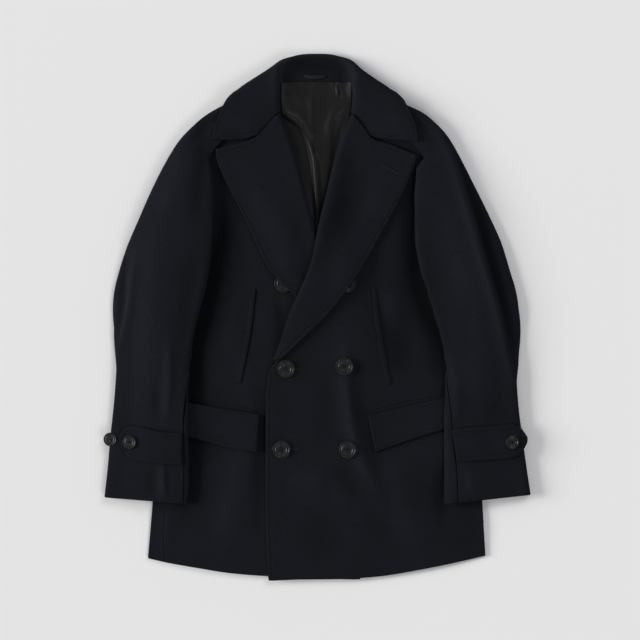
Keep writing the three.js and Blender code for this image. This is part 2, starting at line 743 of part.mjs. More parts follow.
// Rows below the underarm, from the cuff up. The fold is the inner edge of the flattened tube.
// seam: from the outer edge to the outer seam; inseam: from the fold to the inner seam, + beneath.
const TUBE_COLUMNS = ['outerX', 'outerY', 'foldX', 'foldY', 'seam', 'inseam', 'crown'];
const TUBE = {
  right: table(TUBE_COLUMNS, [
    [-341, -288, -204, -298, 7, -9, 4],
    [-337, -254, -203, -260, 7, -9, 5],
    [-334, -224, -203, -228, 7, -9, 5],
    [-332, -194, -204, -197, 7, -9, 5],
    [-328, -160, -204, -161, 7, -9, 5],
    [-325, -128, -204, -127, 7, -6, 5],
    [-323, -97, -202, -94, 7, 0, 5],
    [-323, -68, -199, -62, 9, 8, 5],
    [-326, -36, -196, -31, 14, 16, 5],
    [-328, -4, -189, -1, 22, 27, 4],
    [-328, 28, -180, 30, 28, 42, 4],
    [-321, 66, -172, 66, 19, 64, 5],
    [-309, 102, -167, 102, 9, 88, 6],
  ]),
  left: table(TUBE_COLUMNS, [
    [342, -284, 203, -298, 6, -23, 4],
    [337, -253, 203, -260, 6, -21, 5],
    [333, -224, 203, -228, 6, -19, 5],
    [329, -194, 202, -198, 6, -16, 5],
    [324, -160, 202, -163, 6, -13, 5],
    [321, -128, 201, -130, 6, -10, 5],
    [322, -100, 202, -100, 8, -4, 5],
    [326, -65, 203, -66, 16, 6, 5],
    [327, -31, 197, -31, 27, 16, 4],
    [327, 2, 187, 1, 35, 28, 4],
    [322, 33, 177, 33, 37, 44, 4],
    [314, 66, 165, 67, 38, 68, 5],
    [302, 103, 158, 102, 38, 84, 6],
  ]),
};

// Rows above the underarm. A gap above 0 turns the front under along the fold to its raglan seam.
const YOKE_COLUMNS = ['outerX', 'outerY', 'foldX', 'foldY', 'seam', 'gap', 'edge', 'crown', 'rise'];
const YOKE = {
  right: table(YOKE_COLUMNS, [
    [-302, 122, -166, 122, 8, 6, 6.5, 6, 150],
    [-280, 171, -165, 175, 6, 5.5, 6.5, 6, 140],
    [-264, 205, -165, 209, 6, 5, 6.5, 5, 120],
    [-249, 234, -166, 239, 6, 3.5, 6.5, 4, 90],
    [-235, 258, -169, 263, 6, 0, 6, 3.5, 66],
    [-221, 281, -152, 284, 6, 0, 6, 2, 56],
    [-205, 298, -134, 300, 6, 0, 5.5, 1, 46],
    [-186, 317, -117, 314, 6, 0, 5, 0, 40],
    [-166, 330, -101, 325, 6, 0, 4.5, 0, 36],
    [-118, 356, -82, 338, 6, 0, 3.5, 0, 30],
    [-68, 386, -70, 350, 6, 0, 3, 0, 30],
  ]),
  left: table(YOKE_COLUMNS, [
    [296, 122, 156, 122, 37, 6, 6.5, 6, 150],
    [273, 171, 154, 173, 28, 5.5, 6.5, 6, 140],
    [257, 203, 155, 206, 24, 5, 6.5, 5, 120],
    [242, 234, 158, 239, 19, 3.5, 6.5, 4, 90],
    [227, 263, 167, 263, 13, 0, 6, 3.5, 62],
    [214, 286, 150, 282, 9, 0, 6, 2, 56],
    [197, 306, 133, 298, 7, 0, 5.5, 1, 46],
    [177, 322, 115, 313, 6, 0, 5, 0, 40],
    [156, 333, 99, 324, 6, 0, 4.5, 0, 36],
    [109, 355, 80, 339, 6, 0, 3.5, 0, 30],
    [62, 384, 67, 351, 6, 0, 3, 0, 30],
  ]),
};

const TUBE_EDGE_GAP = 6.5;
const TUBE_FOLD_GAP = 6;
const ARC_STEPS = 6;
const FOLD_WEIGHT = 3;
const FRONT_SLEEVE_COLUMNS = 17;
const BACK_SLEEVE_COLUMNS = 14;

/** Points of a round fold in an upright plane, from one angle to another in degrees. */
function foldArc(place, centre, radius, zCentre, fromAngle, toAngle) {
  return Array.from({ length: ARC_STEPS + 1 }, (_, k) => {
    const angle = (lerp(fromAngle, toAngle, k / ARC_STEPS) * Math.PI) / 180;
    const [x, y] = place(centre + radius * Math.cos(angle));
    return pathPoint(x, y, zCentre + radius * Math.sin(angle), FOLD_WEIGHT);
  });
}

/** A straight way in plan from one point towards another. */
function planWay(from, to) {
  const length = Math.hypot(to[0] - from[0], to[1] - from[1]);
  const place = (s) => [lerp(from[0], to[0], s / length), lerp(from[1], to[1], s / length)];
  return { length, place };
}

/** The front and back paths of a sleeve row below the underarm: one flattened loop, cut at its two seams. */
function tubePaths(row, ground) {
  const { length, place } = planWay([row.outerX, row.outerY], [row.foldX, row.foldY]);
  const base = (s) => ground.at(...place(s)) + CLOTH;
  const outerRadius = TUBE_EDGE_GAP / 2;
  const innerRadius = TUBE_FOLD_GAP / 2;
  const start = CLOTH + outerRadius;
  const end = length - CLOTH - innerRadius;
  const outerLow = base(start);
  const innerLow = base(end);
  const top = (t) => lerp(outerLow + TUBE_EDGE_GAP, innerLow + TUBE_FOLD_GAP, t) + row.crown * Math.sin(Math.PI * t);
  const outerUpper = foldArc(place, start, outerRadius, outerLow + outerRadius, 180, 90);
  const fold = foldArc(place, end, innerRadius, innerLow + innerRadius, 90, -90);
  const outerLower = foldArc(place, start, outerRadius, outerLow + outerRadius, 270, 180);
  const over = [];
  const beneath = [];
  for (let k = 1; k < 20; k += 1) {
    const t = k / 20;
    const s = lerp(start, end, t);
    over.push(pathPoint(...place(s), top(t)));
    const back = lerp(end, start, t);
    beneath.push(pathPoint(...place(back), base(back), 1.3));
  }
  const loop = [...outerUpper, ...over, ...fold, ...beneath, ...outerLower];
  const lengths = lengthsAlong(loop);
  const total = lengths[lengths.length - 1];
  const middle = lengths[outerUpper.length + over.length + ARC_STEPS / 2];
  const twice = [...loop, ...loop.slice(1)];
  const gap = Math.abs(row.inseam) < 9 ? CROSSING_GAP : INSEAM_GAP;
  return {
    front: stretch(loop, row.seam - SEAM_LAP, middle + row.inseam),
    back: stretch(twice, middle + row.inseam + gap, total + row.seam),
  };
}

/** The front and back paths of a sleeve row above the underarm, where both run to the raglan seams. */
function yokePaths(row, ground, frontEnd, backEnd) {
  const outer = [row.outerX, row.outerY];
  const turned = row.gap > 0;
  const way = planWay(outer, turned ? [row.foldX, row.foldY] : frontEnd);
  const backWay = planWay(outer, backEnd);
  const floor = (s) => backHeight(backWay.place(s)[1]) + CLOTH;
  const radius = row.edge / 2;
  const start = CLOTH + radius;
  const outerLow = floor(start);
  const foldRadius = row.gap / 2;
  const end = turned ? way.length - CLOTH - foldRadius : way.length;
  const foldLow = ground.at(...way.place(end)) + (turned ? CLOTH : 0);
  const endTop = foldLow + row.gap;
  const rise = Math.min(row.rise, end - start);
  const top = (s) => {
    const crown = row.crown * Math.sin((Math.PI * (s - start)) / (end - start));
    return lerp(outerLow + row.edge, endTop, ease((s - start) / rise)) + crown;
  };
  const over = Array.from({ length: 20 }, (_, k) => {
    const s = lerp(start, end, (k + 1) / (turned ? 21 : 20));
    return pathPoint(...way.place(s), top(s));
  });
  const outerUpper = foldArc(way.place, start, radius, outerLow + radius, 180, 90);
  const front = [...outerUpper, ...over];
  if (turned) {
    front.push(...foldArc(way.place, end, foldRadius, foldLow + foldRadius, 90, -90));
    const returned = Math.hypot(frontEnd[0] - outer[0], frontEnd[1] - outer[1]);
    for (let k = 1; k <= 8; k += 1) {
      const s = lerp(end, Math.min(returned, end - 1), k / 8);
      front.push(pathPoint(...way.place(s), ground.at(...way.place(s)) + CLOTH, 1.3));
    }
  }
  const back = [];
  for (let k = 0; k < 12; k += 1) {
    const s = lerp(backWay.length, start, k / 12);
    back.push(pathPoint(...backWay.place(s), floor(s), 1.3));
  }
  back.push(...foldArc(backWay.place, start, radius, outerLow + radius, 270, 180));
  const backLength = lengthsAlong(back);
  back.push(...outerUpper.slice(1), ...over);
  return {
    front: stretch(front, row.seam - SEAM_LAP, lengthsAlong(front).pop()),
    back: stretch(back, 0, backLength[backLength.length - 1] + row.seam),
  };
}

const sleeves = {};

/** Both pieces of a sleeve. The front piece laps over the back piece along the outer seam. */
function addSleeve(side) {
  const ground = new Heights().add(fronts[side], 0.9).add(flaps[side], 1.1).spread(11, 0.5);
  const rows = TUBE[side].map((row) => tubePaths(row, ground));
  YOKE[side].forEach((row, k) => {
    rows.push(yokePaths(row, ground, RAGLAN_FRONT[side][k], RAGLAN_BACK[side][k]));
  });
  const frontGrid = rows.map(({ front }) => resample(front, FRONT_SLEEVE_COLUMNS));
  const backGrid = rows.map(({ back }) => resample(back, BACK_SLEEVE_COLUMNS));
  const seamLift = (point) => (CLOTH + ARM_GAP) * (1 - ease((point.along - SEAM_LAP) / CREASE_SPREAD));
  const frontWall = wall(frontGrid, CLOTH, { i: 10, j: 8, lift: seamLift });
  const backWall = wall(backGrid, CLOTH, { i: 10, j: 9, up: -1 });
  sleeves[side] = addPiece(`sleeve_front_${side}`, frontWall, MELTON);
  addPiece(`sleeve_back_${side}`, backWall, MELTON);
}

addSleeve('right');
addSleeve('left');

// Cuff straps

const STRAP_COLUMNS = ['x', 'topY', 'bottomX', 'bottomY'];
const STRAP = {
  right: table(STRAP_COLUMNS, [
    [-216, -184, -216, -235],
    [-243, -183, -243, -234],
    [-267, -178, -267, -231],
    [-291, -174, -290, -226],
    [-304, -175, -303, -221],
    [-312, -184, -311, -209],
    [-317, -190, -317, -197],
  ]),
  left: table(STRAP_COLUMNS, [
    [215, -179, 223, -229],
    [245, -176, 247, -229],
    [277, -174, 278, -227],
    [301, -172, 301, -225],
    [319, -171, 320, -222],
    [329, -181, 329, -213],
    [336, -192, 336, -199],
  ]),
};
const STRAP_STEPS = 12;
const STRAP_WIDTH_STEPS = 3;
const STRAP_THICKNESS = 3.5;

/** A cuff strap that lies across the sleeve, pointed at its buttoned end. */
function addStrap(side) {
  const on = new Heights().add(sleeves[side], 0.45).spread(3, 0.3);
  const upper = planCurve(STRAP[side].map((row) => [row.x, row.topY]));
  const lower = planCurve(STRAP[side].map((row) => [row.bottomX, row.bottomY]));
  const plan = Array.from({ length: STRAP_STEPS + 1 }, (_, k) => {
    const a = upper(k / STRAP_STEPS);
    const b = lower(k / STRAP_STEPS);
    return Array.from({ length: STRAP_WIDTH_STEPS + 1 }, (__, c) => {
      const p = a.clone().lerp(b, c / STRAP_WIDTH_STEPS);
      return [p.x, p.y];
    });
  });
  return addPiece(`cuff_strap_${side}`, laidPiece(plan, on, STRAP_THICKNESS), MELTON);
}

const strapRight = addStrap('right');
const strapLeft = addStrap('left');
const onStrapRight = new Heights().add(strapRight, 0.35);
const onStrapLeft = new Heights().add(strapLeft, 0.35);
const onSleeveRight = new Heights().add(sleeves.right, 0.35).add(strapRight, 0.35);
addButton('button_cuff_right_inner', CUFF_BUTTON, [-299, -199], onStrapRight);
addButton('button_cuff_right_outer', CUFF_BUTTON, [-330, -195], onSleeveRight, -0.3);
addButton('button_cuff_left', CUFF_BUTTON, [311, -199], onStrapLeft);

// Collar

// Sections round the neck, from the wearer's right gorge over the back to the left gorge.
// end: free edge of the fall; wrap: outline where the fall goes round the shoulder; roll: top
// of the stand; neck: foot of the stand. under 0 is a leaf on the chest, under 1 a fall beneath,
// and between them the free edge is that share of the way round the shoulder.
const COLLAR_COLUMNS = ['endX', 'endY', 'wrapX', 'wrapY', 'rollX', 'rollY', 'neckX', 'neckY', 'under', 'flat'];
const COLLAR = table(COLLAR_COLUMNS, [
  [-168, 285, 0, 0, -58, 330, -63, 329, 0, 0],
  [-165, 304, 0, 0, -59, 341, -64, 338, 0, 0],
  [-157, 325, 0, 0, -60, 352, -65, 348, 0, 0],
  [-146, 349, 0, 0, -60, 363, -65, 357, 0, 0],
  [0, 0, -141.5, 352.7, -60.2, 366.3, -64.6, 359.1, 0.3, 0],
  [0, 0, -136.5, 356.3, -60.4, 369.6, -64.2, 361.2, 0.55, 0],
  [0, 0, -131.5, 360, -60.5, 372.9, -63.8, 363.3, 0.8, 0],
  [-129, 355, -124, 365.5, -60.7, 376.6, -63.3, 365.7, 1, 0],
  [-122, 350, -115, 371.8, -60.8, 380.6, -62.6, 368.2, 1, 0.05],
  [-115, 345, -104, 379, -61, 385, -62, 371, 1, 0.1],
  [-98, 341, -83, 392, -60, 396, -59, 375, 1, 0.25],
  [-80, 344, -66, 402, -57, 406, -53, 377, 1, 0.5],
  [-62, 349, -54, 411, -51, 413, -45, 378, 1, 0.8],
  [-45, 352, -44, 418, -42, 419, -37, 378, 1, 1],
  [-29, 354, -31, 422, -31, 422, -27, 378, 1, 1],
  [-14, 356, -15, 423, -15, 423, -14, 378, 1, 1],
  [0, 356, 0, 423, 0, 423, 0, 378, 1, 1],
  [14, 356, 14, 423, 14, 423, 13, 378, 1, 1],
  [28, 354, 28, 422, 28, 422, 26, 378, 1, 1],
  [42, 352, 39, 419, 38, 419, 36, 378, 1, 1],
  [57, 349, 49, 412, 47, 413, 44, 378, 1, 0.8],
  [73, 344, 61, 402, 53, 406, 51, 377, 1, 0.5],
  [90, 341, 76, 392, 55, 396, 56, 375, 1, 0.25],
  [107, 344, 95, 379, 56, 385, 58, 371, 1, 0.1],
  [114, 349, 107, 371, 56.2, 380.6, 58.7, 368.2, 1, 0.05],
  [121, 354, 117, 364.5, 56.4, 376.6, 59.3, 365.7, 1, 0],
  [0, 0, 124, 359.8, 56.6, 372.9, 59.8, 363.3, 0.8, 0],
  [0, 0, 129.5, 356, 56.7, 369.6, 60.2, 361.2, 0.55, 0],
  [0, 0, 134.5, 352.5, 56.9, 366.3, 60.6, 359.1, 0.3, 0],
  [139, 349, 0, 0, 57, 364, 61, 357, 0, 0],
  [152, 325, 0, 0, 56, 353, 61, 348, 0, 0],
  [161, 304, 0, 0, 55, 342, 60, 338, 0, 0],
  [162, 281, 0, 0, 54, 330, 58, 329, 0, 0],
]);
const COLLAR_GRID_COLUMNS = 17;
const STAND_FOOT = 9.2;
const STAND_FLAT = 7.2;
const STAND_ROLL = 2.4;
const LEAF_STEPS = 14;
const FALL_STEPS = 10;
const STAND_STEPS = 5;

// The leaves' lower ends: the gorge seam, then the free bottom edge
const LEAF_BOTTOM = {
  right: planCurve([[-58, 330], [-72, 326.5], [-84, 308], [-97, 292], [-114, 286], [-139, 284], [-168, 285]]),
  left: planCurve([[54, 330], [67, 321], [80, 298.5], [87, 289.5], [109, 286], [133, 284], [162, 281]]),
};

/** The path of one collar section, from the free edge of the fall to the foot of the stand. */
function collarPath(row, chest, bend, bottomCurve) {
  const roll = [row.rollX, row.rollY];
  const flatRoll = row.under === 1 && row.flat > 0.9;
  const outward = row.under > 0 ? [row.wrapX, row.wrapY] : [row.endX, row.endY];
  const away = flatRoll ? planWay(roll, [row.endX, row.endY]) : planWay(roll, outward);
  const path = [];
  if (flatRoll) {
    const radius = (STAND_FLAT - DOUBLE_CLOTH) / 2;
    const start = DOUBLE_CLOTH + radius;
    for (let k = 0; k < FALL_STEPS; k += 1) {
      const s = lerp(away.length, start, k / FALL_STEPS);
      path.push(pathPoint(...away.place(s), DOUBLE_CLOTH));
    }
    path.push(...foldArc(away.place, start, radius, DOUBLE_CLOTH + radius, 270, 90));
    const down = planWay(away.place(start), [row.neckX, row.neckY]);
    for (let k = 1; k <= FALL_STEPS; k += 1) {
      path.push(pathPoint(...down.place((down.length * k) / FALL_STEPS), STAND_FLAT));
    }
    return path;
  }
  const rollRadius = lerp(STAND_ROLL, (STAND_FLAT - DOUBLE_CLOTH) / 2, row.flat);
  const rollStart = DOUBLE_CLOTH + rollRadius;
  const level = (place) => {
    const settled = chest.at(...place);
    return lerp(settled, Math.min(settled, STAND_FLAT + 3), row.flat);
  };
  let wrapStart = away.length;
  if (row.under > 0) {
    const probe = away.place(Math.max(away.length - DOUBLE_CLOTH - 4, rollStart));
    const wrapTop = lerp(level(probe), STAND_FLAT, row.flat ** 2);
    const radius = (wrapTop - DOUBLE_CLOTH) / 2;
    wrapStart = Math.max(away.length - DOUBLE_CLOTH - radius, rollStart);
    if (row.under === 1) {
      const under = planWay(away.place(wrapStart), [row.endX, row.endY]);
      for (let k = 0; k < FALL_STEPS; k += 1) {
        path.push(pathPoint(...under.place(lerp(under.length, 0, k / FALL_STEPS)), DOUBLE_CLOTH));
      }
    }
    const fromAngle = lerp(90, -90, row.under);
    path.push(...foldArc(away.place, wrapStart, radius, DOUBLE_CLOTH + radius, fromAngle, 90));
  }
  const plan = (s) => {
    const straight = away.place(s);
    if (bend === 0) return straight;
    const bent = bottomCurve(s / away.length);
    return [lerp(straight[0], bent.x, bend), lerp(straight[1], bent.y, bend)];
  };
  const first = row.under > 0 ? 1 : 0;
  for (let k = first; k < LEAF_STEPS; k += 1) {
    const s = lerp(wrapStart, rollStart, k / LEAF_STEPS);
    path.push(pathPoint(...plan(s), level(plan(s))));
  }
  const rollTop = level(plan(rollStart));
  const arc = foldArc(plan, rollStart, rollRadius, rollTop - rollRadius, 90, 180);
  path.push(...arc);
  const foot = lerp(STAND_FOOT, STAND_FLAT, row.flat);
  const last = arc[arc.length - 1];
  for (let k = 1; k <= STAND_STEPS; k += 1) {
    const t = k / STAND_STEPS;
    path.push(pathPoint(lerp(last.x, row.neckX, t), lerp(last.y, row.neckY, t), lerp(last.z, foot, t), 1));
  }
  return path;
}

const collarGround = new Heights();
[fronts.right, fronts.left, sleeves.right, sleeves.left].forEach((piece) => collarGround.add(piece, 0.8));
const chestForCollar = collarGround.spread(10, 0.3);

function collarBand() {
  const last = COLLAR.length - 1;
  const grid = COLLAR.map((row, k) => {
    const fromEnd = Math.min(k, last - k);
    const bend = [1, 0.35, 0.08][fromEnd] ?? 0;
    const bottomCurve = k < last / 2 ? LEAF_BOTTOM.right : LEAF_BOTTOM.left;
    return resample(collarPath(row, chestForCollar, bend, bottomCurve), COLLAR_GRID_COLUMNS);
  });
  return wall(grid, DOUBLE_CLOTH, { i: 0, j: 8 });
}

const collar = addPiece('collar', collarBand(), MELTON);

// Hanger loop, sewn down at both ends and standing a little off the stand between them

const LOOP = { fromX: -21, toX: 14, y: 386, width: 6, thickness: 1.2, bow: 2.2, steps: 8 };

function hangerLoop() {
  const on = new Heights().add(collar, 0.35);
  const grid = Array.from({ length: LOOP.steps + 1 }, (_, k) => {
    const t = k / LOOP.steps;
    const x = lerp(LOOP.fromX, LOOP.toX, t);
    const rise = LOOP.bow * ease(4 * t * (1 - t));
    return [-0.5, 0, 0.5].map((across) => {
      const y = LOOP.y + across * LOOP.width;
      return new THREE.Vector3(x, y, on.at(x, y) + rise);
    });
  });
  return wall(grid, LOOP.thickness);
}

addPiece('hanger_loop', hangerLoop(), TAPE);

// The origin lies under the middle of the coat, on the surface
const box = new THREE.Box3().setFromObject(coat);
coat.position.set(-(box.min.x + box.max.x) / 2, -(box.min.y + box.max.y) / 2, -box.min.z);
coat.updateMatrixWorld(true);

export default coat;
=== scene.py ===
"""Looks for a pea coat that lies flat: cloth shells, stitching, buttons, finishes and a plain studio.

Every plan point is a real size in millimetres on the drafting plan of the coat: X runs from the
wearer's right to the wearer's left and Y from the hem to the collar.
"""

from __future__ import annotations

import json
import logging
import math
from collections.abc import Iterable, Sequence
from dataclasses import dataclass, field
from enum import Enum

import bmesh
import bpy
import numpy as np
from mathutils import Matrix, Vector
from mathutils.bvhtree import BVHTree

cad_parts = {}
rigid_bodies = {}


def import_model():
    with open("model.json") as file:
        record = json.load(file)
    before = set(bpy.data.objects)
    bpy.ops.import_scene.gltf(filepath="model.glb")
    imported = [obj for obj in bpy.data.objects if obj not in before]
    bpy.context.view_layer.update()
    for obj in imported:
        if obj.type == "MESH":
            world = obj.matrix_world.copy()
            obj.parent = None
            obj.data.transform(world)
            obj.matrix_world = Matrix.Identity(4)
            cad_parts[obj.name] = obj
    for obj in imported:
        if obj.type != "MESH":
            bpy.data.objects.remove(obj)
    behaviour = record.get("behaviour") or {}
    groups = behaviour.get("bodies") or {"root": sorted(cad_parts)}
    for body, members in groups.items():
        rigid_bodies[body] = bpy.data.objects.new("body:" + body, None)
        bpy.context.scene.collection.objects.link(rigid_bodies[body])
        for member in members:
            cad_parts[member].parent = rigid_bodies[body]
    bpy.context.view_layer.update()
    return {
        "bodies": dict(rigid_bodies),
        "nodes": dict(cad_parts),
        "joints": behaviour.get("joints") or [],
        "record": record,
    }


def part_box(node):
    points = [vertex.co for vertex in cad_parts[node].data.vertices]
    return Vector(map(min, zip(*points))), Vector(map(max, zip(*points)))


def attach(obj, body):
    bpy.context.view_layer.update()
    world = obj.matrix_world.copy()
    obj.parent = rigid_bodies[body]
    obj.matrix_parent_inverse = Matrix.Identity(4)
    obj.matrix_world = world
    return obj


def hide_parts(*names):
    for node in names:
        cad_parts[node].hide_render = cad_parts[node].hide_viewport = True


LOG = logging.getLogger("pea_coat")

MM = 0.001
PLAN_ORIGIN = np.array([-0.416, -0.446])
BODY = "root"
HIGH_ABOVE = 0.2
STITCH_INSET_MM = 6.5
UP = Vector((0, 0, 1))

Plan = Sequence[tuple[float, float]]


class Side(Enum):
    """The wearer's side, with the way it lies along X."""

    RIGHT = -1
    LEFT = 1

    @property
    def label(self) -> str:
        """The side's word in the node names."""
        return self.name.lower()


def to_frame(points: Plan | np.ndarray) -> np.ndarray:
    """Turns plan points in millimetres into frame points in metres."""
    return (np.asarray(points, float) + PLAN_ORIGIN) * MM


def places_of(mesh: bpy.types.Mesh) -> np.ndarray:
    """The places of a mesh's points, in metres.

    Args:
        mesh: the mesh that is read.

    Returns:
        One row of x, y and z for each point.
    """
    flat = np.zeros(len(mesh.vertices) * 3)
    mesh.vertices.foreach_get("co", flat)
    return flat.reshape(-1, 3)


def to_plan(places: np.ndarray) -> np.ndarray:
    """Turns frame points in metres into plan points in millimetres."""
    return places[:, :2] / MM - PLAN_ORIGIN


def along_line(line: np.ndarray, shares: np.ndarray) -> np.ndarray:
    """The places on an evenly sampled line at shares of its length."""
    even = np.linspace(0, 1, len(line))
    return np.column_stack([np.interp(shares, even, line[:, k]) for k in (0, 1)])


def linear(code: str) -> tuple[float, float, float, float]:
    """Turns an sRGB hex colour into a linear one with full alpha.

    Args:
        code: the colour as # and six digits.

    Returns:
        Red, green, blue and alpha, from 0 to 1.
    """
    parts = [int(code[i : i + 2], 16) / 255 for i in (1, 3, 5)]
    curve = [c / 12.92 if c <= 0.04045 else ((c + 0.055) / 1.055) ** 2.4 for c in parts]
    return (*curve, 1.0)


def smooth(t: np.ndarray | float) -> np.ndarray | float:
    """An ease from 0 to 1."""
    held = np.clip(t, 0.0, 1.0)
    return held * held * (3.0 - 2.0 * held)


def rounded_line(points: Plan, step: float) -> np.ndarray:
    """A smooth plan line through points, sampled at an even step.

    Args:
        points: plan points in millimetres.
        step: the wanted spacing in millimetres.

    Returns:
        The sampled plan points, both ends included.
    """
    samples = 16
    knots = np.asarray(points, float)
    padded = np.vstack([2 * knots[0] - knots[1], knots, 2 * knots[-1] - knots[-2]])
    dense = []
    for i in range(1, len(padded) - 2):
        p0, p1, p2, p3 = padded[i - 1 : i + 3]
        for t in np.linspace(0, 1, samples, endpoint=False):
            dense.append(
                0.5 * (2 * p1 + (p2 - p0) * t + (2 * p0 - 5 * p1 + 4 * p2 - p3) * t**2
                       + (3 * p1 - p0 - 3 * p2 + p3) * t**3)
            )
    dense.append(knots[-1])
    curve = np.array(dense)
    length = np.concatenate([[0], np.cumsum(np.linalg.norm(np.diff(curve, axis=0), axis=1))])
    wanted = np.linspace(0, length[-1], max(2, round(length[-1] / step) + 1))
    return np.column_stack([np.interp(wanted, length, curve[:, k]) for k in (0, 1)])


def inset_line(line: np.ndarray, distance: float) -> np.ndarray:
    """Moves a plan line sideways: to its left where the distance is positive.

    Args:
        line: plan points in their order.
        distance: how far they move, in millimetres.

    Returns:
        The moved plan points.
    """
    along = np.gradient(line, axis=0)
    along /= np.linalg.norm(along, axis=1)[:, None]
    return line + np.column_stack([-along[:, 1], along[:, 0]]) * distance


def distance_to(points: np.ndarray, line: np.ndarray) -> tuple[np.ndarray, np.ndarray, np.ndarray]:
    """Measures plan points from a line.

    Args:
        points: N plan points.
        line: the corners of the line.

    Returns:
        The distance, the share of the line's length at the nearest place, and the side (+1 or -1).
    """
    best = np.full(len(points), np.inf)
    share = np.zeros(len(points))
    side = np.ones(len(points))
    lengths = np.linalg.norm(np.diff(line, axis=0), axis=1)
    total = lengths.sum()
    before = 0.0
    for start, end, length in zip(line[:-1], line[1:], lengths):
        way = (end - start) / max(length, 1e-9)
        away = points - start
        t = np.clip(away @ way, 0, length)
        gap = away - t[:, None] * way
        distance = np.linalg.norm(gap, axis=1)
        nearer = distance < best
        best[nearer] = distance[nearer]
        share[nearer] = (before + t[nearer]) / total
        side[nearer] = np.sign(way[0] * away[nearer, 1] - way[1] * away[nearer, 0])
        before += length
    return best, share, side


# Finishes


@dataclass
class NodeGraph:
    """The node tree of one material."""

    material: bpy.types.Material

    def add(self, kind: str, inputs: dict | None = None, **settings: object) -> bpy.types.Node:
        """Adds a node with its settings and links.

        Args:
            kind: the node's type.
            inputs: a value or an output socket for each named input.
            **settings: the node's own properties.

        Returns:
            The new node.
        """
        node = self.material.node_tree.nodes.new(kind)
        for name, value in settings.items():
            setattr(node, name, value)
        for name, value in (inputs or {}).items():
            if isinstance(value, bpy.types.NodeSocket):
                self.material.node_tree.links.new(value, node.inputs[name])
            else:
                node.inputs[name].default_value = value
        return node

    def attribute(self, name: str) -> bpy.types.NodeSocket:
        """Reads a number that the mesh holds for each point."""
        return self.add("ShaderNodeAttribute", attribute_name=name).outputs["Fac"]

    def math(self, operation: str, *values: bpy.types.NodeSocket | float) -> bpy.types.NodeSocket:
        """Adds a calculation and gives its result."""
        return self.add("ShaderNodeMath", dict(enumerate(values)), operation=operation).outputs[0]

    def noise(self, place: bpy.types.NodeSocket, scale: float, detail: float,
              **inputs: float) -> bpy.types.NodeSocket:
        """Adds a noise texture and gives its value.

        Args:
            place: the output that gives the coordinates.
            scale: how many of its features come in a metre.
            detail: how many finer layers it has.
            **inputs: its other named inputs.

        Returns:
            The output with the value.
        """
        node = self.add("ShaderNodeTexNoise", {"Vector": place, "Scale": scale, "Detail": detail, **inputs})
        return node.outputs["Fac"]

    def trough(self, away: bpy.types.NodeSocket, half: float) -> bpy.types.NodeSocket:
        """A soft trough: 0 in its middle, and 1 beyond half its width.

        Args:
            away: the output with the distance from the middle.
            half: half of the trough's width.

        Returns:
            The output with the value.
        """
        node = self.add(
            "ShaderNodeMapRange", {"Value": away, "From Max": half}, interpolation_type="SMOOTHSTEP"
        )
        return node.outputs[0]

    def object_place(self) -> bpy.types.NodeSocket:
        """The coordinates on the object."""
        return self.add("ShaderNodeTexCoord").outputs["Object"]

    def bump(self, height: bpy.types.NodeSocket, strength: float, depth_mm: float,
             over: bpy.types.NodeSocket | None = None) -> bpy.types.NodeSocket:
        """Adds a bump of a real depth.

        Args:
            height: the output that gives the height.
            strength: how much of the bump is used.
            depth_mm: its depth in millimetres.
            over: the normal of the bump that it lies on, if any.

        Returns:
            The output with the normal.
        """
        inputs = {"Height": height, "Strength": strength, "Distance": depth_mm * MM}
        if over is not None:
            inputs["Normal"] = over
        return self.add("ShaderNodeBump", inputs).outputs[0]

    def ramp(self, share: bpy.types.NodeSocket, low: tuple[float, str],
             high: tuple[float, str]) -> bpy.types.NodeSocket:
        """Adds a ramp between two places, each with its sRGB hex colour, and gives its colour.

        Args:
            share: the output that picks the place.
            low: the lower place and its colour.
            high: the upper place and its colour.

        Returns:
            The output with the colour.
        """
        node = self.add("ShaderNodeValToRGB", {"Fac": share})
        for element, (position, colour) in zip(node.color_ramp.elements, (low, high)):
            element.position = position
            element.color = linear(colour)
        return node.outputs["Color"]


class Finish:
    """A material with a Principled shader that subclasses build up."""

    name = "finish"

    def make(self) -> bpy.types.Material:
        """Makes the material once and gives it again when asked again.

        Returns:
            The material.
        """
        known = bpy.data.materials.get(self.name)
        if known is not None:
            return known
        material = bpy.data.materials.new(self.name)
        material.use_nodes = True
        material.node_tree.nodes.clear()
        graph = NodeGraph(material)
        shader = self.shade(graph)
        graph.add("ShaderNodeOutputMaterial", {"Surface": shader.outputs[0]})
        return material

    def shade(self, graph: NodeGraph) -> bpy.types.Node:
        """Builds the shader and returns it."""
        raise NotImplementedError

    @staticmethod
    def cuts(graph: NodeGraph, names: Iterable[str], half_mm: float) -> bpy.types.NodeSocket:
        """The narrow cuts and seams that a piece is marked with: 1 on the cloth and 0 in the cut.

        Args:
            graph: the material's graph.
            names: the cuts' names, as the piece's attributes hold them.
            half_mm: half the width of a cut in millimetres.

        Returns:
            The output with the height.
        """
        total = None
        for name in names:
            clear = graph.trough(graph.math("ABSOLUTE", graph.attribute(f"{name}_across")), half_mm)
            outside = graph.math("GREATER_THAN", graph.attribute(f"{name}_beyond"), 0.0)
            bare = graph.math("SUBTRACT", 1.0, graph.attribute(f"{name}_marked"))
            cut = graph.math("MAXIMUM", clear, graph.math("MAXIMUM", outside, bare))
            total = cut if total is None else graph.math("MULTIPLY", total, cut)
        return total


